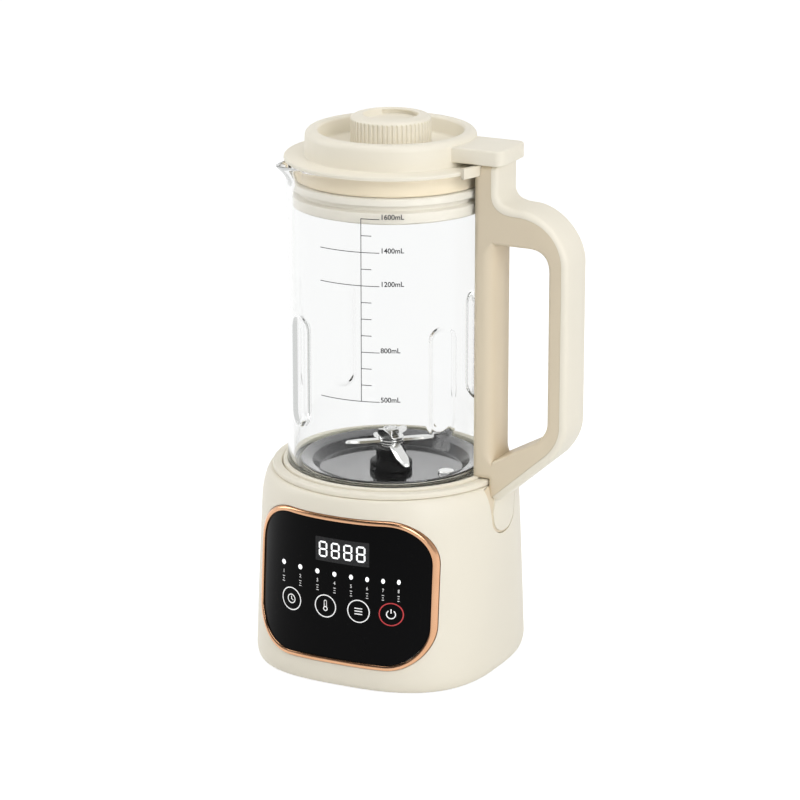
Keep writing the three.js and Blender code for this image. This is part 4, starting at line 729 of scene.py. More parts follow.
board = Finish("circuit_board")
track_cells = board.add("ShaderNodeTexVoronoi", {"feature": "DISTANCE_TO_EDGE"}, {
    "Vector": board.place, "Scale": 210}, "Distance")
tracks = track_cells < 0.06
weave = board.noise(900, 3)
board = board.painted({
    "Base Color": board.blend(tracks, board.blend(weave, (0.012, 0.075, 0.03, 1), (0.02, 0.11, 0.045, 1)),
                              (0.05, 0.22, 0.09, 1)),
    "Roughness": 0.35 + weave * 0.15,
    "Normal": board.bump(tracks + weave * 0.2, 0.04 * mm)})
dress(board, "display_board", "power_board")
dress(near_black, "connector_socket")
dress(cream, "dock_liner")

inlet = prism("lead_inlet", opening(0, INLET_CENTRE_Z, *INLET_HALF, INLET_CORNER),
              INLET_BACK, INLET_MOUTH, "y")
cavity = opening(0, INLET_CENTRE_Z, INLET_HALF[0] - INLET_WALL, INLET_HALF[1] - INLET_WALL, 1 * mm)
carve(inlet, prism("inlet_cavity", cavity, INLET_BACK + INLET_WALL, INLET_MOUTH + OVERRUN, "y"))
for x, z in INLET_PINS.values():
    hole = opening(x, INLET_CENTRE_Z + z, INLET_PIN_HALF[0] + PLAY, INLET_PIN_HALF[1] + PLAY, 0.5 * mm)
    carve(inlet, prism("pin_hole", hole, INLET_BACK - OVERRUN, INLET_MOUTH, "y"))
hand_over(soften(inlet, 0.4 * mm), "base", near_black, ["power_inlet"])
dress(plated, *[f"inlet_pin_{wire}" for wire in INLET_PINS])

# Control panel: a glossy black cover that follows the housing's curve, in a polished rose-gold frame. The
# digits, lamp dots, key rings and signs show through the cover as white or red print.
BEZEL_WIDTH = 3.1 * mm
BEZEL_PROUD = 1.3 * mm
COVER_LIFT = 0.2 * mm
COVER_THICKNESS = 1.5 * mm
BEZEL_ROUND = 1.35 * mm
BEZEL_PITCH = 5 * mm
PRINT_THICKNESS = 0.05 * mm
STRIP_WIDTHS = {(1, 0, 0): 2.5 * mm, (0, 1, 0): 8 * mm}
WINDOW_X = (-12.5 * mm, 21.5 * mm)
WINDOW_Z = (77 * mm, 91.5 * mm)
DIGITS = 4
DIGIT_PITCH = 8 * mm
DIGIT_WIDTH = 4.6 * mm
DIGIT_HEIGHT = 8.6 * mm
DIGIT_STROKE = 1.05 * mm
DIGIT_GAP = 0.35
DIGIT_FIRST_X = -7.5 * mm
DOT_COUNT = 8
DOT_FIRST_X = -35.9 * mm
DOT_PITCH = 12.9 * mm
DOT_CROWDING = 0.00198 / mm
DOT_Z = 70.6 * mm
DOT_FALL = 0.016
DOT_RADIUS = 1.5 * mm
MARK_HEIGHT = 2.9 * mm
MARK_DROP = 5.6 * mm
KEY_Z = 49.6 * mm
KEY_RADIUS = 7 * mm
KEY_LINE = 0.62 * mm
KEYS = {
    "clock": {"x": -29.8, "bars": [(0, -0.2, 0, 1.7, 0.5), (0, 0, 1.3, -0.7, 0.5)],
              "rings": [(0, 0, 2.6, 0.55, 32)]},
    "flask": {"x": -6.2, "bars": [(side * 0.75, -0.5, side * 0.75, 2.8, 0.45) for side in (-1, 1)],
              "rings": [(0, -1.6, 1.2, 0.55, 24), (0, 2.8, 0.75, 0.45, 12, 0, 180)]},
    "list": {"x": 15, "bars": [(-2.4, row, 2.4, row, 0.6) for row in (-1.7, 0, 1.7)], "rings": []},
    "start": {"x": 34.3, "bars": [(0, 0.6, 0, 3.2, 0.6)], "rings": [(0, 0, 2.5, 0.6, 32, 125, 290)]},
}


def side_half_width(z):
    """Half-width of the housing's outside at a height, above its bottom edge."""
    rise = max(0, (z - HOUSING_TOP + HOUSING_SHOULDER[1]) / HOUSING_SHOULDER[1])
    return HOUSING_HALF_WIDTH - HOUSING_SHOULDER[0] * (1 - math.sqrt(1 - rise ** 2))


def on_front(x, z, lift):
    """The point of the housing's front at a place across and up, lifted off it."""
    power = squareness(z)
    half = side_half_width(z) + lift
    deep = half * depth_share(z) * (1 - abs(x / half) ** power) ** (1 / power)
    return AXIS + Vector((x, -deep, z))


def laid_on(name, flat, place, lift, thickness):
    """Bends a flat bmesh onto a surface and gives it its thickness. It is first cut into narrow strips."""
    for axis, pitch in STRIP_WIDTHS.items():
        spread = [v.co.dot(Vector(axis)) for v in flat.verts]
        for k in range(math.ceil(min(spread) / pitch), math.floor(max(spread) / pitch) + 1):
            everything = flat.verts[:] + flat.edges[:] + flat.faces[:]
            bmesh.ops.bisect_plane(flat, geom=everything, plane_co=Vector(axis) * k * pitch, plane_no=axis,
                                   dist=1e-7)
    shape = bmesh.new()
    top = {v: shape.verts.new(place(v.co.x, v.co.y, lift)) for v in flat.verts}
    under = {v: shape.verts.new(place(v.co.x, v.co.y, lift - thickness)) for v in flat.verts}
    for face in flat.faces:
        shape.faces.new([top[v] for v in face.verts])
        shape.faces.new([under[v] for v in reversed(face.verts)])
    for edge in flat.edges:
        if len(edge.link_faces) == 1:
            a, b = edge.verts
            shape.faces.new([top[a], top[b], under[b], under[a]])
    flat.free()
    return new_piece(name, shape)


def add_face(flat, points):
    return flat.faces.new([flat.verts.new((x, y, 0)) for x, y in points])


def add_ring(flat, x, y, radius, line, steps=48, start=0, sweep=360):
    """A flat ring, or the part of one that sweeps from a start angle."""
    whole = sweep == 360
    turns = [math.radians(start + sweep * k / steps) for k in range(steps + (0 if whole else 1))]
    rows = [[flat.verts.new(Vector((x, y, 0)) + Vector((*polar(reach, turn), 0))) for turn in turns]
            for reach in (radius - line / 2, radius + line / 2)]
    for k in range(len(turns) - (0 if whole else 1)):
        n = (k + 1) % len(turns)
        flat.faces.new([rows[0][k], rows[1][k], rows[1][n], rows[0][n]])


def add_bar(flat, x0, y0, x1, y1, line):
    """A flat straight stroke between two points."""
    along = Vector((x1 - x0, y1 - y0)).normalized() * line / 2
    side = Vector((-along.y, along.x))
    add_face(flat, [(x0 - side.x, y0 - side.y), (x1 - side.x, y1 - side.y),
                    (x1 + side.x, y1 + side.y), (x0 + side.x, y0 + side.y)])


def add_words(flat, words, x, y, height, align="CENTER"):
    """Plain numbers set in the built-in typeface."""
    text_data = bpy.data.curves.new("words", "FONT")
    text_data.body = words
    text_data.size = height
    text_data.offset = height * 0.018
    text_data.align_x = align
    text_data.align_y = "CENTER"
    text = bpy.data.objects.new("words", text_data)
    scene.collection.objects.link(text)
    mesh = bpy.data.meshes.new_from_object(text.evaluated_get(bpy.context.evaluated_depsgraph_get()))
    mesh.transform(Matrix.Translation((x, y, 0)))
    flat.from_mesh(mesh)
    bpy.data.objects.remove(text)


def printed_light(name, colour, strength):
    """Lit print behind the cover: plain colour, a little uneven as ink on a diffuser is."""
    finish = Finish(name)
    ink = finish.noise(700, 2)
    colours = finish.blend(ink, tone(colour, 0.94), tone(colour, 1))
    return finish.painted({
        "Base Color": colours, "Roughness": 0.3 + ink * 0.1,
        "Emission Color": colours, "Emission Strength": strength})


gloss_black = Finish("panel_black")
wipes = gloss_black.noise(22, 5)
dust = gloss_black.noise(2200, 1)
gloss_black = gloss_black.painted({
    "Base Color": gloss_black.blend(wipes, (0.0012, 0.0012, 0.0014, 1), (0.0022, 0.0022, 0.0026, 1)),
    "Roughness": 0.07 + wipes * 0.05 + (dust > 0.68) * 0.12,
    "Specular IOR Level": 0.06,
})

cover_flat = bmesh.new()
add_face(cover_flat, panel_outline(BEZEL_WIDTH + PLAY, 24))
cover = laid_on("panel_cover", cover_flat, on_front, COVER_LIFT, COVER_THICKNESS)
hand_over(cover, "base", gloss_black, ["panel_glass"])

rose_gold = Finish("rose_gold")
polish = rose_gold.noise(40, 3)
rose_lines = rose_gold.noise(1600, 3)
rose_gold = rose_gold.painted({
    "Base Color": rose_gold.blend(polish, (0.70, 0.37, 0.20, 1), (0.82, 0.49, 0.30, 1)),
    "Metallic": 1,
    "Roughness": 0.16 + polish * 0.08 + (rose_lines - 0.5) * 0.05,
    "Normal": rose_gold.bump(rose_lines, 0.003 * mm),
})


def subdivided(outline, pitch):
    """Adds points along the long straight stretches of a closed outline."""
    fine = []
    for (x0, y0), (x1, y1) in zip(outline, outline[1:] + outline[:1]):
        pieces = max(1, round(math.dist((x0, y0), (x1, y1)) / pitch))
        fine += [(x0 + (x1 - x0) * k / pieces, y0 + (y1 - y0) * k / pieces) for k in range(pieces)]
    return fine


def bezel_frame():
    """A rounded bar that follows the panel's outline over the housing's curve."""
    path = subdivided(panel_outline(BEZEL_WIDTH / 2, 24), BEZEL_PITCH)
    half = BEZEL_WIDTH / 2
    section = rounded([(-half, COVER_LIFT - COVER_THICKNESS, 0), (half, COVER_LIFT - COVER_THICKNESS, 0),
                       (half, BEZEL_PROUD, BEZEL_ROUND), (-half, BEZEL_PROUD, BEZEL_ROUND)], 7)
    rows = []
    for i, (x, z) in enumerate(path):
        before, after = Vector(path[i - 1]), Vector(path[(i + 1) % len(path)])
        along = (after - before).normalized()
        rows.append([on_front(x + along.y * across, z - along.x * across, lift) for across, lift in section])
    shape = bmesh.new()
    joined_rows(shape, rows + rows[:1])
    return new_piece("bezel_frame", shape)


hand_over(bezel_frame(), "base", rose_gold, ["bezel_ring"], math.radians(60))

window_grey = Finish("display_window_print")
window_noise = window_grey.noise(500, 2)
window_grey = window_grey.painted({
    "Base Color": window_grey.blend(window_noise, (0.018, 0.018, 0.019, 1), (0.024, 0.024, 0.026, 1)),
    "Roughness": 0.22 + window_noise * 0.1, "Specular IOR Level": 0.2})


def print_on(name, flat, finish, place=on_front, lift=COVER_LIFT + PRINT_THICKNESS * 0.5):
    """Prints a flat drawing on the cover."""
    hand_over(laid_on(name, flat, place, lift, PRINT_THICKNESS), "base", finish)


window_flat = bmesh.new()
add_face(window_flat, rounded_box(*WINDOW_X, *WINDOW_Z, 0.4 * mm, 3))
print_on("display_window", window_flat, window_grey)


def add_digit(flat, x, z):
    """Seven flat bars with pointed ends, as a lit figure eight."""
    stroke = DIGIT_STROKE / 2
    level_bars = [((-1, row), (1, row)) for row in (1, 0, -1)]
    upright_bars = [((side, row), (side, row + 1)) for row in (0, -1) for side in (-1, 1)]
    for ends in level_bars + upright_bars:
        start, end = [Vector((x + u * DIGIT_WIDTH / 2, z + v * DIGIT_HEIGHT / 2)) for u, v in ends]
        along = (end - start).normalized()
        side = Vector((-along.y, along.x)) * stroke
        start += along * stroke * DIGIT_GAP
        end -= along * stroke * DIGIT_GAP
        near, far = start + along * stroke, end - along * stroke
        add_face(flat, [start, near - side, far - side, end, far + side, near + side])


white_light = printed_light("white_print", (0.94, 0.95, 0.96), 0.6)
digit_flat = bmesh.new()
for k in range(DIGITS):
    add_digit(digit_flat, DIGIT_FIRST_X + k * DIGIT_PITCH, (WINDOW_Z[0] + WINDOW_Z[1]) / 2)
print_on("display_digits", digit_flat, white_light, lift=COVER_LIFT + PRINT_THICKNESS)


def row_of(flat, count, step):
    """A flat drawing repeated in a row, as one drawing."""
    row = repeat(new_piece("row", flat), count, step)
    flat = bmesh.new()
    flat.from_mesh(row.data)
    bpy.data.objects.remove(row)
    return flat


def in_dot_row(x, z, lift):
    """The dot row closes up a little and falls a little towards the right."""
    return on_front(DOT_FIRST_X + x * (1 - DOT_CROWDING * x), DOT_Z + z - DOT_FALL * x, lift)


dot_flat = bmesh.new()
add_face(dot_flat, [polar(DOT_RADIUS, math.pi * k / 12) for k in range(24)])
print_on("lamp_dots", row_of(dot_flat, DOT_COUNT, (DOT_PITCH, 0, 0)), white_light, in_dot_row)

mark_flat = bmesh.new()
for k in range(DOT_COUNT):
    x = k * DOT_PITCH
    add_words(mark_flat, str(k + 1), x, -MARK_DROP, MARK_HEIGHT)
    for row, half in enumerate((0.9 * mm, 0.6 * mm, 0.9 * mm)):
        z = -MARK_DROP - MARK_HEIGHT * (1.0 + 0.5 * row)
        add_bar(mark_flat, x - half, z, x + half, z, 0.45 * mm)
print_on("lamp_numbers", mark_flat, printed_light("soft_white_print", (0.8, 0.8, 0.8), 0.05), in_dot_row)

key_flat, start_flat = bmesh.new(), bmesh.new()
for name, key in KEYS.items():
    middle = key["x"] * mm
    add_ring(start_flat if name == "start" else key_flat, middle, KEY_Z, KEY_RADIUS - KEY_LINE / 2, KEY_LINE)
    for x0, z0, x1, z1, line in key["bars"]:
        add_bar(key_flat, middle + x0 * mm, KEY_Z + z0 * mm, middle + x1 * mm, KEY_Z + z1 * mm, line * mm)
    for x, z, radius, line, *arcs in key["rings"]:
        add_ring(key_flat, middle + x * mm, KEY_Z + z * mm, radius * mm, line * mm, *arcs)
print_on("key_signs", key_flat, printed_light("key_white_print", (0.88, 0.88, 0.88), 0.3))
print_on("start_key_ring", start_flat, printed_light("red_print", (0.5, 0.035, 0.04), 0.25))

# Jug seat: the wide cream ring that the jug's collar stands in, clipped into the top of the housing. It has a
# well round the coupling, a hole for the jug's plug and a flat side beside the handle's foot.
SEAT_RADIUS = 69.6 * mm
SEAT_Z = (116.3 * mm, 119.6 * mm)
SEAT_WELL = 64 * mm
SEAT_WALL = 66.2 * mm
SEAT_FLOOR = (92 * mm, 94.5 * mm)
SEAT_FLAT = 68.9 * mm
SEAT_FLAT_HALF = 20 * mm
SEAT_HOLE = (18.8 * mm, 21 * mm)
SEAT_HOLE_TOP = 96.3 * mm
PLUG_X = (36 * mm, 50 * mm)
PLUG_HALF = 11 * mm

seat = turned("jug_seat_ring", [
    (SEAT_RADIUS, SEAT_Z[0], 0.4 * mm),
    (SEAT_RADIUS, SEAT_Z[1], 1.3 * mm),
    (SEAT_WELL, SEAT_Z[1], 1.1 * mm),
    (SEAT_WELL, SEAT_FLOOR[1], 1 * mm),
    (SEAT_HOLE[1], SEAT_FLOOR[1], 0.5 * mm),
    (SEAT_HOLE[1], SEAT_HOLE_TOP, 0.5 * mm),
    (SEAT_HOLE[0], SEAT_HOLE_TOP, 0.5 * mm),
    (SEAT_HOLE[0], SEAT_FLOOR[0], 0),
    (SEAT_WALL, SEAT_FLOOR[0], 0.5 * mm),
    (SEAT_WALL, SEAT_Z[0], 0),
], FINE_STEPS)
plug_room = (PLUG_X[0] - PLAY, PLUG_X[1] + PLAY, PLUG_HALF + PLAY)
carve(seat, block("plug_hole", *plug_room, SEAT_FLOOR[0] - OVERRUN, SEAT_FLOOR[1] + OVERRUN))
carve(seat, block("flat", SEAT_FLAT, OUTSIDE, SEAT_FLAT_HALF, SEAT_Z[0] - PLAY, SEAT_Z[1] + OVERRUN))
hand_over(seat, "base", cream, ["jug_seat"])

# Jug collar: a thin cream ring that the glass stands in, screwed up from below to the heating plate. Its
# upstand on the handle's side reaches into the handle's column and carries it.
COLLAR_RADIUS = 63.5 * mm
COLLAR_Z = (97 * mm, 121 * mm)
COLLAR_FLOOR = 2.5 * mm
COLLAR_HOLE = 19 * mm
COLLAR_LEDGE = (2.5 * mm, 108.7 * mm)
UPSTAND_HALF = 10 * mm
UPSTAND_Z = (118 * mm, 140 * mm)
GLASS_RADIUS = 60.67 * mm
COLLAR_INNER = GLASS_RADIUS + PLAY

ledge_inner = COLLAR_INNER - COLLAR_LEDGE[0]
floor_top = COLLAR_Z[0] + COLLAR_FLOOR
collar = turned("jug_foot_ring", [
    (COLLAR_RADIUS, COLLAR_Z[0], 0.8 * mm), (COLLAR_RADIUS, COLLAR_Z[1], 1.1 * mm),
    (COLLAR_INNER, COLLAR_Z[1], 0.5 * mm), (COLLAR_INNER, COLLAR_LEDGE[1], 0),
    (ledge_inner, COLLAR_LEDGE[1], 0), (ledge_inner, floor_top, 0),
    (COLLAR_HOLE, floor_top, 0.5 * mm), (COLLAR_HOLE, COLLAR_Z[0], 0.5 * mm)], FINE_STEPS)
upstand = tube_tool(COLLAR_RADIUS, *UPSTAND_Z, COLLAR_INNER)
upstand_sides = block("sides", 0, OUTSIDE, UPSTAND_HALF, COLLAR_Z[0], UPSTAND_Z[1] + OVERRUN)
carve(upstand, upstand_sides, "INTERSECT")
carve(collar, upstand, "UNION")
carve(collar, block("plug_hole", *plug_room, COLLAR_Z[0] - OVERRUN, floor_top + OVERRUN))
hand_over(collar, "jug", cream, ["jug_collar"])

# Glass jug: blown clear glass with an inward lip at its foot, four pressed flutes low on its wall and a small
# pouring lip. The volume scale is fired on in dark grey enamel.
GLASS_WALL = 3.5 * mm
GLASS_Z = (109 * mm, 300.6 * mm)
GLASS_BEND = 6 * mm
GLASS_LIP = (51.4 * mm, 119.6 * mm)
LIP_EDGE = 0.8 * mm
WALL_LOW = 122 * mm
WALL_TOP = 1.8 * mm
TRAPPED_AFTER = 5.5
FLUTE_FIRST = -124
FLUTE_COUNT = 4
FLUTE_HALF = 9.2 * mm
FLUTE_SIDE = 0.55
FLUTE_DEPTH = 2.9 * mm
FLUTE_Z = (148 * mm, 215 * mm)
SPOUT_ANGLE = -137
SPOUT_HALF_ANGLE = 15
SPOUT_REACH = 8.5 * mm
SPOUT_HEIGHT = 14 * mm
SCALE_LOW_Z = 172 * mm
SCALE_STEP = 9.72 * mm
SCALE_MARKS = 12
SCALE_FIRST = 500
SCALE_LINE_ANGLE = -79.5
SCALE_SHORT = 5.8 * mm
SCALE_LONG = 10.6 * mm
SCALE_LEFT = 26.5 * mm
SCALE_STROKE = 0.42 * mm
SCALE_NUMBERS = (500, 800, 1200, 1400, 1600)
SCALE_LEFT_MARKS = (500, 1200, 1400)
NUMBER_HEIGHT = 4.1 * mm
NUMBER_SHIFT = (0.5 * mm, 1.2 * mm)
ENAMEL_LIFT = 0.06 * mm


def off_angle(angle, heading):
    return abs((math.degrees(angle) - heading + 180) % 360 - 180)


def pressed(radius, angle, z):
    """The wall's radius where flutes press it in and the pouring lip pulls it out."""
    for k in range(FLUTE_COUNT):
        across = math.radians(off_angle(angle, FLUTE_FIRST + k * 360 / FLUTE_COUNT)) * GLASS_RADIUS
        beyond = max(0, FLUTE_Z[0] + FLUTE_HALF - z, z - FLUTE_Z[1] + FLUTE_HALF)
        inside = min(1, max(0, 1 - math.hypot(across, beyond) / FLUTE_HALF) / FLUTE_SIDE)
        radius -= FLUTE_DEPTH * inside * inside * (3 - 2 * inside)
    off = off_angle(angle, SPOUT_ANGLE) / SPOUT_HALF_ANGLE
    rise = (z - GLASS_Z[1] + SPOUT_HEIGHT) / SPOUT_HEIGHT
    if off < 1 and rise > 0:
        radius += SPOUT_REACH * rise ** 2 * math.cos(off * math.pi / 2) ** 2
    return radius


glass_inner = GLASS_RADIUS - GLASS_WALL
stations = [(WALL_LOW, 0), (FLUTE_Z[0], 4), (FLUTE_Z[0] + FLUTE_HALF, 12), (FLUTE_Z[1] - FLUTE_HALF, 6),
            (FLUTE_Z[1], 12), (GLASS_Z[1] - SPOUT_HEIGHT, 8), (GLASS_Z[1] - WALL_TOP, 10)]
wall_levels = [WALL_LOW]
for (low, _), (high, count) in zip(stations, stations[1:]):
    wall_levels += levels(low, high, count)[1:]
rim = [(GLASS_RADIUS - GLASS_WALL / 2 + across, GLASS_Z[1] - GLASS_WALL / 2 + up)
       for across, up in [polar(GLASS_WALL / 2, math.pi * k / 12) for k in range(13)]]
lip_bend = arc((glass_inner, GLASS_LIP[1] + 3 * mm), (GLASS_LIP[0] + 2 * mm, GLASS_LIP[1]),
               (glass_inner, GLASS_LIP[1]))
glass_outline = (arc((GLASS_RADIUS - GLASS_BEND, GLASS_Z[0]), (GLASS_RADIUS, GLASS_Z[0] + GLASS_BEND),
                     (GLASS_RADIUS, GLASS_Z[0]))
                 + [(GLASS_RADIUS, z) for z in wall_levels] + rim
                 + [(glass_inner, z) for z in wall_levels[::-1][:-1]] + lip_bend
                 + [(GLASS_LIP[0], GLASS_LIP[1] - LIP_EDGE), (GLASS_LIP[0], GLASS_Z[0] + LIP_EDGE),
                    (GLASS_LIP[0] + LIP_EDGE, GLASS_Z[0])])
glass_jug = lathe("jug_glass_wall", glass_outline, 480, pressed)

glass = Finish("jug_glass")
drawn_out = glass.add("ShaderNodeMapping", {}, {"Vector": glass.place, "Scale": (1, 1, 0.25)})
streaks = glass.noise(9, 2, drawn_out)
smears = glass.noise(70, 4)
glass_body = glass.add("ShaderNodeBsdfPrincipled", {}, {
    "Base Color": glass.blend(smears, (0.972, 0.976, 0.974, 1), (0.982, 0.986, 0.984, 1)),
    "Roughness": 0.004 + (smears > 0.6) * 0.006,
    "IOR": 1.36,
    "Specular Tint": (0.24, 0.24, 0.24, 1),
    "Transmission Weight": 1,
    "Normal": glass.bump(streaks, 0.35 * mm, 0.25)})
glass_shadow = glass.add("ShaderNodeBsdfTransparent", {}, {"Color": (0.93, 0.94, 0.93, 1)})
# Rays held in the glass past a few bounces leave through grey: painted shade for the dark lines that
# refraction draws along the flutes' sides.
painted_outline_grey = glass.add("ShaderNodeBsdfTransparent", {}, {"Color": (0.76, 0.77, 0.76, 1)})
trapped = glass.add("ShaderNodeLightPath", output="Ray Depth") > TRAPPED_AFTER
glass_body = glass.add("ShaderNodeMixShader", {}, {0: trapped, 1: glass_body, 2: painted_outline_grey})
glass = glass.close(glass.add("ShaderNodeMixShader", {}, {
    0: glass.add("ShaderNodeLightPath", output="Is Shadow Ray"), 1: glass_body, 2: glass_shadow}))
hand_over(glass_jug, "jug", glass, ["glass_jug"])


def on_glass(x, z, lift):
    """The point of the glass's outside at a way round from the scale's upright line, and up."""
    angle = math.radians(SCALE_LINE_ANGLE) + x / GLASS_RADIUS
    reach = pressed(GLASS_RADIUS, angle, z) + lift
    return AXIS + Vector((*polar(reach, angle), z))


enamel = moulded("scale_enamel", (0.035, 0.035, 0.04), 0.4, 0.008, 0.15)
tick_flat = bmesh.new()
add_bar(tick_flat, 0, 0, SCALE_SHORT, 0, SCALE_STROKE)
scale_flat = row_of(tick_flat, SCALE_MARKS, (0, SCALE_STEP, 0))
bmesh.ops.translate(scale_flat, verts=scale_flat.verts, vec=(SCALE_STROKE / 2, SCALE_LOW_Z, 0))
scale_top = SCALE_LOW_Z + (SCALE_MARKS - 1) * SCALE_STEP
add_bar(scale_flat, 0, SCALE_LOW_Z - SCALE_STROKE / 2, 0, scale_top + SCALE_STROKE / 2, SCALE_STROKE)
for volume in SCALE_NUMBERS:
    z = SCALE_LOW_Z + (volume - SCALE_FIRST) / 100 * SCALE_STEP
    add_bar(scale_flat, SCALE_SHORT + SCALE_STROKE / 2, z, SCALE_LONG, z, SCALE_STROKE)
    add_words(scale_flat, f"{volume}mL", SCALE_LONG + NUMBER_SHIFT[0], z + NUMBER_SHIFT[1],
              NUMBER_HEIGHT, "LEFT")
    if volume in SCALE_LEFT_MARKS:
        add_bar(scale_flat, -SCALE_LEFT, z, -SCALE_STROKE / 2, z, SCALE_STROKE)
hand_over(laid_on("volume_scale", scale_flat, on_glass, ENAMEL_LIFT, PRINT_THICKNESS), "jug", enamel)

# Hot plate: pressed aluminium with a dark non-stick coat, its rim sealed on the glass's lip. A steel button
# holds the thermostat's probe, and the black hub in the middle holds the blades' bearing.
PLATE_RIM = (53 * mm, 122.3 * mm)
PLATE_BAND = (46 * mm, 120 * mm)
PLATE_SLOPE = (50.4 * mm, 43.4 * mm)
PLATE_FLOOR_Z = 114 * mm
PLATE_DISH = 1 * mm
PLATE_PAINTED_DARK = (42 * mm, 46.4 * mm)
PLATE_SHEET = 1.4 * mm
HUB_STEM = 9 * mm
PROBE = (35 * mm, 2 * mm)
PROBE_HEAD = (5 * mm, 2.6 * mm)
PROBE_STEM = (1.9 * mm, 6 * mm)
HUB_RADIUS = 12.5 * mm
HUB_Z = (114.3 * mm, 119.6 * mm)
NECK = (8.8 * mm, 127 * mm)
BORE = 6.4 * mm
HUB_FOOT = 103 * mm
SEAL_ROOM = (8 * mm, 121.2 * mm)

coat = Finish("nonstick_plate")
fleck = coat.noise(1500, 2)
scorch = coat.noise(35, 4)
off_axis = coat.add("ShaderNodeVectorMath", {"operation": "SUBTRACT"}, {0: coat.place, 1: AXIS})
level = coat.add("ShaderNodeVectorMath", {"operation": "MULTIPLY"}, {0: off_axis, 1: (1, 1, 0)})
round_off = coat.add("ShaderNodeVectorMath", {"operation": "LENGTH"}, {0: level}, "Value")
# On the slope ring between floor and band the coat is painted matte black, without metal and with little
# coat: painted shade for the dark reflection the slope shows.
painted_dark_slope = (round_off > PLATE_PAINTED_DARK[0]) * (round_off < PLATE_PAINTED_DARK[1])
coat = coat.painted({
    "Base Color": coat.blend(scorch * (1 - painted_dark_slope), (0.02, 0.02, 0.022, 1), (0.075, 0.075, 0.08, 1)),
    "Metallic": 1 - painted_dark_slope,
    "Coat Weight": 1 - painted_dark_slope * 0.85,
    "Coat Roughness": 0.06,
    "Coat IOR": 1.8,
    "Roughness": 0.08 + (fleck > 0.62) * 0.08 + scorch * 0.06,
    "Normal": coat.bump(fleck, 0.01 * mm)})
under_floor, under_rim = PLATE_FLOOR_Z - PLATE_SHEET, PLATE_RIM[1] - PLATE_SHEET
hot_plate = turned("hot_plate", [
    (HUB_STEM + PLAY, under_floor, 0), (PLATE_SLOPE[1], under_floor, 2 * mm),
    (PLATE_SLOPE[0], under_rim, 1 * mm), (PLATE_RIM[0], under_rim, 0.5 * mm),
    (*PLATE_RIM, 0.5 * mm), (*PLATE_BAND, 1.2 * mm),
    (PLATE_SLOPE[1] - PLATE_SHEET, PLATE_FLOOR_Z + PLATE_DISH, 1.6 * mm),
    *[(r * mm, PLATE_FLOOR_Z + PLATE_DISH * (r / 40) ** 2, 0) for r in range(38, 12, -4)],
    (HUB_STEM + PLAY, PLATE_FLOOR_Z, 0)], FINE_STEPS)
hand_over(hot_plate, "jug", coat, ["heating_plate"])

polished = steel_like("polished_steel", (0.74, 0.74, 0.73), 0.13)
probe_low = PLATE_FLOOR_Z + PLAY
dull_steel = steel_like("dull_steel", (0.98, 0.98, 0.97), 0.3)
probe_top, probe_foot = probe_low + PROBE_HEAD[1], probe_low - PROBE_STEM[1]
probe = turned("probe_button", [
    (0, probe_foot, 0), (PROBE_STEM[0], probe_foot, 0), (PROBE_STEM[0], probe_low, 0),
    (PROBE_HEAD[0], probe_low, 0.3 * mm), (PROBE_HEAD[0], probe_top, 1.1 * mm), (0, probe_top, 0)], 64)
push(probe, *PROBE)
hand_over(probe, "jug", dull_steel, ["temperature_sensor"])

hub_gloss = moulded("hub_plastic", (0.002, 0.002, 0.002), 0.2, 0.006, 0.1, 0.12)
hub = turned("blade_hub", [
    (BORE, HUB_FOOT, 0), (HUB_STEM, HUB_FOOT, 0.4 * mm), (HUB_STEM, HUB_Z[0], 0),
    (HUB_RADIUS, HUB_Z[0], 0.6 * mm), (HUB_RADIUS, HUB_Z[1], 1.6 * mm), (NECK[0], HUB_Z[1], 0.8 * mm),
    (*NECK, 1 * mm), (SEAL_ROOM[0], NECK[1], 0), (*SEAL_ROOM, 0), (BORE, SEAL_ROOM[1], 0)])
hand_over(hub, "jug", hub_gloss, ["bearing_housing"])

# Under the plate: a cast heating ring with a nut that holds the bearing housing, a bronze bush and a rubber
# seal round the shaft, a soft gasket at the plate's rim and the plug that meets the base's socket.
bronze = steel_like("bronze", (0.55, 0.33, 0.15), 0.3, (1, 1, 20), 0.01)
dress(cast_metal, "heater_element")
dress(plated, "housing_nut")
dress(bronze, "shaft_bush")
dress(grey_rubber, "shaft_seal")
dress(near_black, "connector_plug")
silicone = Finish("silicone")
milky = silicone.noise(60, 3)
silicone = silicone.painted({
    "Base Color": silicone.blend(milky, (0.70, 0.66, 0.58, 1), (0.78, 0.74, 0.66, 1)),
    "Roughness": 0.5 + milky * 0.15,
    "Normal": silicone.bump(silicone.noise(1400, 2), 0.01 * mm)})
dress(silicone, "plate_gasket")

# Blades: three two-armed blades stamped from stainless strip, ground thin along their edges, stacked on the
# shaft at different headings under a nut.
BLADE_THICKNESS = 1.4 * mm
BLADE_FIRST_Z = 129.3 * mm
BLADE_PITCH = 1.7 * mm
BLADE_HUB = 7.4 * mm
BLADE_ROOT_HALF = 3.6 * mm
BLADE_TIP_HALF = 1.5 * mm
BLADE_SHOULDER = 0.62
BLADE_GROUND = 1.3 * mm
BLADE_EDGE = 0.3 * mm
SHAFT_RADIUS = 4 * mm
SHAFT_BOTTOM = MOTOR_SHAFT_TOP + PLAY
SHAFT_SEAT = (6.4 * mm, 127.6 * mm, 129 * mm)
THREAD_RADIUS = 3 * mm
NUT_RADIUS = 5.4 * mm
NUT_Z = (134.4 * mm, 138.8 * mm)
BLADES = {
    "low_blade": {"node": "lower_blade", "heading": -42, "arms": [(26, -20), (26, -6)]},
    "long_blade": {"node": "middle_blade", "heading": 40, "arms": [(27.4, 0), (27.4, 0)]},
    "high_blade": {"node": "upper_blade", "heading": 97, "arms": [(24, -2), (18, 40)]},
}


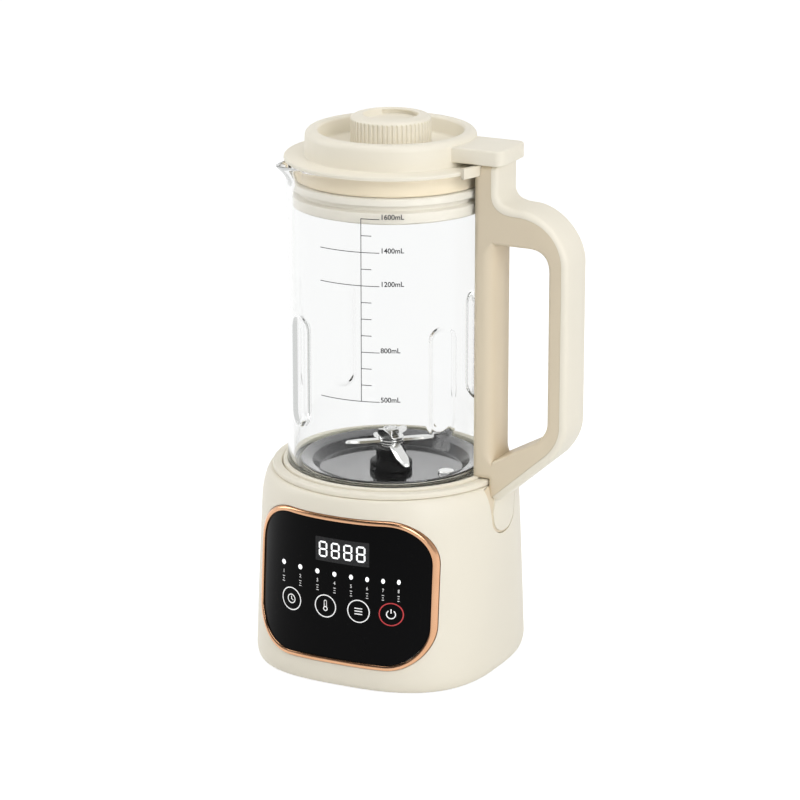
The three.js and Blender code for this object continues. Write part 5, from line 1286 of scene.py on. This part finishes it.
def blade_arm(reach, tilt, heading, z):
    """One arm: a tapering plate, thinned towards its edges on top, that leaves the middle at a tilt."""
    start = BLADE_HUB - BLADE_THICKNESS
    length = (reach * mm - start) / math.cos(math.radians(tilt))
    shoulder = length * BLADE_SHOULDER
    outline = rounded([
        (0, -BLADE_ROOT_HALF, 0), (shoulder, -BLADE_ROOT_HALF, 3 * mm), (length, -BLADE_TIP_HALF, 0.6 * mm),
        (length, BLADE_TIP_HALF, 0.6 * mm), (shoulder, BLADE_ROOT_HALF, 3 * mm), (0, BLADE_ROOT_HALF, 0)], 4)
    place = (Matrix.Rotation(math.radians(heading), 4, "Z") @ Matrix.Translation((start, 0, z))
             @ Matrix.Rotation(-math.radians(tilt), 4, "Y"))
    rows = []
    for height, inset in ((0, 0), (BLADE_EDGE, 0), (BLADE_THICKNESS, BLADE_GROUND)):
        narrowing = 1 - inset / BLADE_ROOT_HALF
        rows.append([place @ Vector((min(x, length - inset), y * narrowing, height)) for x, y in outline])
    return stacked("arm", rows)


ground_steel = steel_like("ground_steel", (0.8, 0.8, 0.79), 0.16, (1, 1, 1), 0.006)
for i, (name, form) in enumerate(BLADES.items()):
    z = BLADE_FIRST_Z + i * BLADE_PITCH
    top = z + BLADE_THICKNESS
    blade = turned(name, [(THREAD_RADIUS + PLAY, z, 0), (BLADE_HUB, z, 0.2 * mm), (BLADE_HUB, top, 0.2 * mm),
                          (THREAD_RADIUS + PLAY, top, 0)], 64)
    for way, (reach, tilt) in zip((0, 180), form["arms"]):
        carve(blade, blade_arm(reach, tilt, form["heading"] + way, z), "UNION")
    hand_over(blade, "blades", ground_steel, [form["node"]])

shaft = turned("blade_spindle", [
    (0, SHAFT_BOTTOM, 0), (SHAFT_RADIUS, SHAFT_BOTTOM, 0.3 * mm), (SHAFT_RADIUS, SHAFT_SEAT[1], 0),
    (SHAFT_SEAT[0], SHAFT_SEAT[1], 0.3 * mm), (SHAFT_SEAT[0], SHAFT_SEAT[2], 0.3 * mm),
    (THREAD_RADIUS, SHAFT_SEAT[2], 0), (THREAD_RADIUS, NUT_Z[1], 0.5 * mm), (0, NUT_Z[1], 0)], 48)
hand_over(shaft, "blades", polished, ["blade_shaft"])

nut = turned("blade_cap_nut", [
    (THREAD_RADIUS + PLAY, NUT_Z[0], 0), (NUT_RADIUS, NUT_Z[0], 0.3 * mm), (NUT_RADIUS, NUT_Z[1], 1.4 * mm),
    (THREAD_RADIUS + PLAY, NUT_Z[1], 0.2 * mm)])
hexagon = [polar(NUT_RADIUS, math.pi * k / 3) for k in range(6)]
carve(nut, prism("hexagon", hexagon, NUT_Z[0] - 1 * mm, NUT_Z[1] + 1 * mm), "INTERSECT")
hand_over(nut, "blades", polished, ["blade_nut"])

# Upper half of the coupling: a turned steel flange pressed on the blades' shaft, with four lobes below it
# that drop into the lower half's socket.
UPPER_FLANGE = (16 * mm, 98.5 * mm, 101.3 * mm)

upper_coupling = star("blade_coupling", 0, LOBE_LOW, UPPER_FLANGE[1] + PLAY)
flange = turned("flange", [
    (0, UPPER_FLANGE[1], 0), (UPPER_FLANGE[0], UPPER_FLANGE[1], 0.5 * mm),
    (UPPER_FLANGE[0], UPPER_FLANGE[2], 0.5 * mm), (0, UPPER_FLANGE[2], 0)])
carve(upper_coupling, flange, "UNION")
carve(upper_coupling, tube_tool(SHAFT_RADIUS + PLAY, LOBE_LOW - OVERRUN, UPPER_FLANGE[2] + OVERRUN))
hand_over(upper_coupling, "blades", turned_steel, ["driven_coupling"])

# Handle: a core carries a cream outer shell that is clipped over its rim, so a fine seam follows the
# handle's side. The core is given a darker beige than the shell, which is painted shade for the shade on
# the handle's sides. Its foot slides into the notch of the base, flush with the housing. An ivory clip on a
# ledge of the core's column reaches round the lid's flange.
HANDLE_HALF = 14 * mm
HANDLE_EDGE = 3.6 * mm
COLUMN_INNER = 60.97 * mm
COLUMN_OUTER = 71.5 * mm
COLUMN_Z = (119.9 * mm, 305.7 * mm)
NECK_OUTER = 74.1 * mm
NECK_BOTTOM = 290 * mm
ARM_SHOULDER = (86.8 * mm, 281.8 * mm)
GRIP_OUTER = 118 * mm
GRIP_Z = (158 * mm, 250 * mm)
GRIP_LOW = (109 * mm, 137 * mm)
HEEL = (76.3 * mm, 108.2 * mm)
HEEL_SLOPE = 1.5
FOOT_INNER = 69.1 * mm
FOOT_PLAY = (1.5 * mm, 0.4 * mm)
FOOT_SHIFT = 0.8 * mm
FOOT_TAPER = ((-25, 118), (-11.5, 118), (-11.5, 107), (-13, 101), (-14.5, 96), (-25, 96))
BACKING_DEPTH = 0.8 * mm
HOLE_OUTER = 106 * mm
HOLE_TOP = 260 * mm
HOLE_CORNER = 13 * mm
HOLE_LOW = (98 * mm, 145.4 * mm)
HOLE_CORNER_Z = 131 * mm
HOLE_EDGE = 2.2 * mm
SHELL_DEPTH = 4 * mm
SHELL_SEAM = 0.12 * mm
SWITCH_X = (65.9 * mm, 69.1 * mm)
SWITCH_HALF = 7 * mm
SWITCH_LOW = 301.4 * mm
COLUMN_ROUND = 6.5 * mm
COLUMN_ROUND_Z = (128 * mm, 262 * mm)
COLUMN_RUN_OUT = 9 * mm
CLIP_ANGLE = 24
CLIP_Z = (299.4 * mm, 305.4 * mm)
CLIP_INNER = 62.2 * mm
CLIP_OUTER = 64.7 * mm
LID_FLANGE = (61.7 * mm, 300.9 * mm, 303.1 * mm)
LID_PLAY = 0.5 * mm


def sweep_through(start, *points, steps=16):
    """Points of a Bezier curve of two or three further points, without its start."""
    hold = [Vector(start)] + [Vector(p) for p in points]
    result = []
    for k in range(1, steps + 1):
        row = hold
        while len(row) > 1:
            row = [a.lerp(b, k / steps) for a, b in zip(row, row[1:])]
        result.append(tuple(row[0]))
    return result


def handle_side(inset, start):
    """The handle's side outline in x and z; an inset moves its outer contour inwards."""
    shoulder = (ARM_SHOULDER[0] - inset / 2, ARM_SHOULDER[1] - inset)
    line = [(start, COLUMN_Z[0]), (start, COLUMN_Z[1]), (NECK_OUTER - inset, COLUMN_Z[1]),
            (NECK_OUTER - inset, NECK_BOTTOM)]
    line += sweep_through(line[-1], (NECK_OUTER - inset, ARM_SHOULDER[1] - inset), shoulder, steps=10)
    line += sweep_through(shoulder, ((ARM_SHOULDER[0] + GRIP_OUTER) / 2, ARM_SHOULDER[1] - inset),
                          (GRIP_OUTER - inset, (ARM_SHOULDER[1] + GRIP_Z[1]) / 2),
                          (GRIP_OUTER - inset, GRIP_Z[1]), steps=28)
    line.append((GRIP_OUTER - inset, GRIP_Z[0]))
    line += sweep_through(line[-1], (GRIP_OUTER - inset, (GRIP_Z[0] + GRIP_LOW[1]) / 2),
                          (GRIP_LOW[0] - inset, GRIP_LOW[1] + inset / 2))
    return line + [(HEEL[0] - HEEL_SLOPE * inset, HEEL[1]), (FOOT_INNER, HEEL[1]), (FOOT_INNER, COLUMN_Z[0])]


def finger_hole():
    line = [(COLUMN_OUTER, HOLE_CORNER_Z), HOLE_LOW]
    line += sweep_through(HOLE_LOW, (HOLE_OUTER, HOLE_LOW[1] + HOLE_CORNER / 2),
                          (HOLE_OUTER, HOLE_LOW[1] + HOLE_CORNER), steps=10)
    line.append((HOLE_OUTER, HOLE_TOP - HOLE_CORNER))
    line += sweep_through(line[-1], (HOLE_OUTER, HOLE_TOP), (HOLE_OUTER - HOLE_CORNER, HOLE_TOP), steps=10)
    return line + [(COLUMN_OUTER, HOLE_TOP)]


def shrunk(outline, inset):
    """A closed outline moved inwards, each corner along its own bisector."""
    turn = sum(a[0] * b[1] - b[0] * a[1] for a, b in zip(outline, outline[1:] + outline[:1]))
    moved = []
    for i, point in enumerate(outline):
        here = Vector(point)
        before = (here - Vector(outline[i - 1])).normalized()
        after = (Vector(outline[(i + 1) % len(outline)]) - here).normalized()
        inwards = [Vector((-d.y, d.x)) * math.copysign(1, turn) for d in (before, after)]
        bisector = inwards[0] + inwards[1]
        moved.append(tuple(here + bisector * inset * 2 / bisector.length_squared))
    return moved


def pillow(name, outline, low, high, edge, along, steps):
    """A prism with the rims at both its ends rounded over."""
    rows = []
    for side, end in ((-1, low), (1, high)):
        for k in range(steps + 1):
            turn = math.pi / 2 * (k if side > 0 else steps - k) / steps
            rows.append(drawn(shrunk(outline, edge * (1 - math.cos(turn))),
                              end + side * edge * (math.sin(turn) - 1), along))
    return stacked(name, rows)


def fillet_tool(outline, half, edge, steps=6):
    """What rounds the rims of a hole: a bar through it that flares out at both sides."""
    stops = [(-half - 2 * edge, 2 * edge)]
    for k in range(steps + 1):
        turn = math.pi / 2 * k / steps
        stops.append((-half + edge * (1 - math.cos(turn)), edge * (1 - math.sin(turn))))
    return stacked("fillets", [drawn(shrunk(outline, -flare), y, "y")
                               for y, flare in stops + [(-y, flare) for y, flare in stops[::-1]]])


whole_handle = pillow("handle_shell", handle_side(0, COLUMN_INNER - 2 * mm), -HANDLE_HALF, HANDLE_HALF,
                      HANDLE_EDGE, "y", 6)
carve(whole_handle, fillet_tool(finger_hole(), HANDLE_HALF, HOLE_EDGE))


def column_round(side, steps=8):
    """What rounds the column's edge along the finger hole, running out at both ends."""
    rows = []
    low, high = COLUMN_ROUND_Z
    for z in levels(low, high, 60):
        share = min(1, (z - low) / COLUMN_RUN_OUT, (high - z) / COLUMN_RUN_OUT)
        radius = 0.1 * mm + (COLUMN_ROUND - 0.1 * mm) * math.sin(math.pi / 2 * share)
        centre = (COLUMN_OUTER - radius, HANDLE_HALF - radius)
        quarter = [polar(radius, math.pi / 2 * (1 - k / steps)) for k in range(steps + 1)]
        row = [(centre[0] + x, centre[1] + y) for x, y in quarter]
        row += [(COLUMN_OUTER + 0.05 * mm, centre[1]), (COLUMN_OUTER + 0.05 * mm, HANDLE_HALF + 2 * mm),
                (centre[0], HANDLE_HALF + 2 * mm)]
        rows.append([(x, side * y, z) for x, y in row])
    return stacked("column_round", rows)


for side in (-1, 1):
    carve(whole_handle, column_round(side))
above_column = COLUMN_Z[1] + OVERRUN
carve(whole_handle, tube_tool(COLUMN_INNER, UPSTAND_Z[0], GLASS_Z[1]))
carve(whole_handle, tube_tool(LID_FLANGE[0] + LID_PLAY, LID_FLANGE[1] - LID_PLAY, above_column))
carve(whole_handle, tube_tool(COLLAR_RADIUS + PLAY, COLLAR_Z[0], COLLAR_Z[1] + PLAY))
core = bpy.data.objects.new("handle_core", whole_handle.data.copy())
scene.collection.objects.link(core)
carve(core, prism("core", handle_side(SHELL_DEPTH + SHELL_SEAM, 0), -OUTSIDE, OUTSIDE, "y"), "INTERSECT")
carve(whole_handle, prism("core", handle_side(SHELL_DEPTH, 0), -OUTSIDE, OUTSIDE, "y"))


def housing_body(depth):
    """The housing as a filled body, or what lies at a depth under its outside."""
    outline = housing_side(-depth) + [(0, HOUSING_TOP), (0, HOUSING_BOTTOM)]
    return lathe("housing_body", outline, FINE_STEPS, squared)


foot_room = prism("foot_room", notch_outline(PLAY, HOUSING_TOP + OVERRUN), FOOT_INNER - PLAY, OUTSIDE, "x")
carve(whole_handle, carve(foot_room, housing_body(0), "INTERSECT"))
hand_over(whole_handle, "jug", cream, ["handle_outer"])

carve(core, tube_tool(CLIP_OUTER + PLAY, CLIP_Z[0] - PLAY, CLIP_Z[1] + PLAY))
upstand_room = tube_tool(COLLAR_RADIUS + PLAY, UPSTAND_Z[0], UPSTAND_Z[1] + PLAY)
upstand_sides = block("sides", 0, OUTSIDE, UPSTAND_HALF + PLAY, COLLAR_Z[0], UPSTAND_Z[1] + OVERRUN)
carve(core, carve(upstand_room, upstand_sides, "INTERSECT"))
carve(core, block("switch_room", SWITCH_X[0] - PLAY, SWITCH_X[1] + PLAY, SWITCH_HALF + PLAY,
                  SWITCH_LOW, above_column))
# The beige is painted shade: a darker copy of the cream that stands in for the shade on the handle's sides,
# the groove beside its foot and the lid's band.
shade_beige = moulded("beige_plastic", (0.76, 0.66, 0.50), 0.44)
hand_over(core, "jug", shade_beige, ["handle_inner"])

foot = prism("handle_foot", notch_outline(FOOT_PLAY[0], HOUSING_TOP), FOOT_INNER, OUTSIDE, "x")
push(foot, 0, FOOT_SHIFT)
carve(foot, prism("taper", [(y * mm, z * mm) for y, z in FOOT_TAPER], COLUMN_INNER, OUTSIDE, "x"))
# The backing lies 0.8 mm under the housing's outside and the tongue's taper bares it; its beige is painted
# shade for the dark groove beside the tongue.
backing = prism("foot_backing", notch_outline(FOOT_PLAY[1], HOUSING_TOP), FOOT_INNER, OUTSIDE, "x")
for tongue, depth, finish in ((foot, 0, cream), (backing, BACKING_DEPTH, shade_beige)):
    hand_over(carve(tongue, housing_body(depth), "INTERSECT"), "jug", finish)

clip = tube_tool(CLIP_OUTER, *CLIP_Z, CLIP_INNER)
carve(clip, sector(0, CLIP_ANGLE, CLIP_Z[0] - OVERRUN, CLIP_Z[1] + OVERRUN), "INTERSECT")
clip.name = "glass_clip"
ivory = moulded("ivory_plastic", (0.84, 0.78, 0.65), 0.4)
hand_over(clip, "jug", ivory, ["rim_clip"])
dress(near_black, "lid_switch")

# Lid: moulded in cream, with a raised ring round the filler cap, a flange on the glass's rim, a band and two
# silicone lips inside the glass, and a tab over the handle with a magnet for the lid switch.
BAND = (54 * mm, 290.1 * mm, 300.6 * mm)
LID_PLUG = (52.5 * mm, 274 * mm)
LID_WALL = 2.4 * mm
TURRET = (49.6 * mm, 318.3 * mm)
TURRET_ROUNDS = (4 * mm, 2 * mm)
TURRET_OPENING = 41.9 * mm
WELL_FLOOR = 308 * mm
THROAT = (18.5 * mm, 282 * mm)
TAB_X = 78 * mm
TAB_HALF = 17 * mm
TAB_Z = (306 * mm, 315 * mm)
TAB_CORNER = 5 * mm
TAB_EDGE = 1.2 * mm
MAGNET_ROOM = (4.3 * mm, 309.6 * mm)
MAGNET_X = 67.5 * mm
LIP_RADII = (52.8 * mm, 53.3 * mm, 56.5 * mm, 56.8 * mm)
LOW_LIP_Z = (275 * mm, 281.5 * mm, 282.3 * mm)
HIGH_LIP_Z = (289.8 * mm, 285.4 * mm, 284.8 * mm)

lid = lathe("lid_top", rounded([
    (*THROAT, 0), (THROAT[0] + LID_WALL, THROAT[1], 0),
    (THROAT[0] + LID_WALL, WELL_FLOOR - LID_WALL, 1 * mm), (TURRET_OPENING, WELL_FLOOR - LID_WALL, 0),
    (LID_PLUG[0] - LID_WALL, LID_FLANGE[1], 0), (LID_PLUG[0] - LID_WALL, LID_PLUG[1], 0.4 * mm),
    (*LID_PLUG, 0.6 * mm), (LID_PLUG[0], LID_FLANGE[1], 0.3 * mm), (LID_FLANGE[0], LID_FLANGE[1], 0.5 * mm),
    (LID_FLANGE[0], LID_FLANGE[2], 0.9 * mm), (TURRET[0], LID_FLANGE[2], 0.8 * mm),
    (TURRET[0], TURRET[1], TURRET_ROUNDS[0]), (TURRET_OPENING, TURRET[1], TURRET_ROUNDS[1]),
    (TURRET_OPENING, WELL_FLOOR, 1.2 * mm), (THROAT[0], WELL_FLOOR, 0.4 * mm)], 7), FINE_STEPS)
tab_outline = rounded_box(TURRET_OPENING, TAB_X, -TAB_HALF, TAB_HALF, TAB_CORNER)
tab = pillow("tab", tab_outline, *TAB_Z, TAB_EDGE, "z", 5)
carve(tab, tube_tool((TURRET[0] + TURRET_OPENING) / 2, TAB_Z[0] - OVERRUN, TAB_Z[1] + OVERRUN))
carve(lid, tab, "UNION")
magnet_room = tube_tool(MAGNET_ROOM[0], TAB_Z[0] - OVERRUN, MAGNET_ROOM[1])
push(magnet_room, MAGNET_X)
carve(lid, magnet_room)
hand_over(lid, "lid", cream, ["lid_body"])

# The band is a ring of its own in the beige, which is painted shade for the shade it lies in under the
# flange, behind the glass.
band_inner = LID_PLUG[0] + 0.05 * mm
band = turned("lid_band", [
    (band_inner, BAND[1], 0), (BAND[0], BAND[1], 0.5 * mm), (BAND[0], BAND[2], 0.5 * mm),
    (band_inner, BAND[2], 0)], FINE_STEPS)
hand_over(band, "lid", shade_beige)

inner, neck, edge, outer = LIP_RADII
low_lip, high_lip = [
    [(inner, z[0], 0), (edge, z[0], 1.3 * mm), (outer, z[1], 0.6 * mm), (neck, z[2], 0.3 * mm)]
    for z in (LOW_LIP_Z, HIGH_LIP_Z)]
lips = turned("lid_lips", low_lip + high_lip[::-1], FINE_STEPS)
hand_over(lips, "lid", silicone, ["lid_seal"])
dress(plated, "lid_magnet")

# Filler cap: a cup that plugs the lid's throat with a silicone ring round it, and a ribbed knob clipped on
# its peg. A pocket in the far wall of the knob's dished top lets steam out.
KNOB_RADIUS = 23.3 * mm
KNOB_Z = (308.6 * mm, 324.2 * mm, 326.8 * mm)
KNOB_RIM = 17.6 * mm
KNOB_WALL = 2 * mm
KNOB_DISH = (16 * mm, 322.8 * mm)
KNOB_RIBS = 52
KNOB_GROOVE = (0.75 * mm, 0.7 * mm)
KNOB_RIB_TOP = 323.6 * mm
VENT = (17.1 * mm, 323.3 * mm, 325.6 * mm)
VENT_INNER = 14 * mm
VENT_ANGLE = 46
PEG_SOCKET = (4.3 * mm, 6 * mm, 310.6 * mm)

roof_under = KNOB_DISH[1] - KNOB_WALL
knob = lathe("ribbed_cap", rounded([
    (KNOB_RADIUS - KNOB_WALL, KNOB_Z[0], 0.3 * mm), (KNOB_RADIUS, KNOB_Z[0], 0.5 * mm),
    (KNOB_RADIUS, KNOB_Z[1] + 1.5 * mm, 3 * mm), (KNOB_RIM, KNOB_Z[2], 1 * mm),
    (KNOB_DISH[0], KNOB_Z[2], 0.7 * mm), (KNOB_DISH[0] - 0.4 * mm, KNOB_DISH[1], 0.9 * mm),
    (0, KNOB_DISH[1], 0), (0, roof_under, 0), (KNOB_RADIUS - KNOB_WALL, roof_under, 1 * mm)], 8), 264)
groove = lathe("groove", [
    (0, KNOB_Z[0] - OVERRUN), (KNOB_GROOVE[0], KNOB_Z[0] - OVERRUN), (KNOB_GROOVE[0], KNOB_RIB_TOP),
    (KNOB_GROOVE[0] * 0.6, KNOB_RIB_TOP + 1 * mm), (0, KNOB_RIB_TOP + 1.4 * mm)], 16)
push(groove, KNOB_RADIUS + KNOB_GROOVE[0] - KNOB_GROOVE[1])
carve(knob, repeat(groove, KNOB_RIBS, turn=2 * math.pi / KNOB_RIBS))
socket = lathe("peg_socket", [
    (PEG_SOCKET[0], PEG_SOCKET[2]), (PEG_SOCKET[1], PEG_SOCKET[2]),
    (PEG_SOCKET[1], roof_under + 1 * mm), (PEG_SOCKET[0], roof_under + 1 * mm)], 48)
carve(knob, socket, "UNION")
vent = tube_tool(*VENT, VENT_INNER)
carve(knob, carve(vent, sector(90, VENT_ANGLE, VENT[1] - OVERRUN, VENT[2] + OVERRUN), "INTERSECT"))
hand_over(knob, "knob", cream, ["cap_knob"])
dress(ivory, "cap_plug")
dress(silicone, "cap_seal")
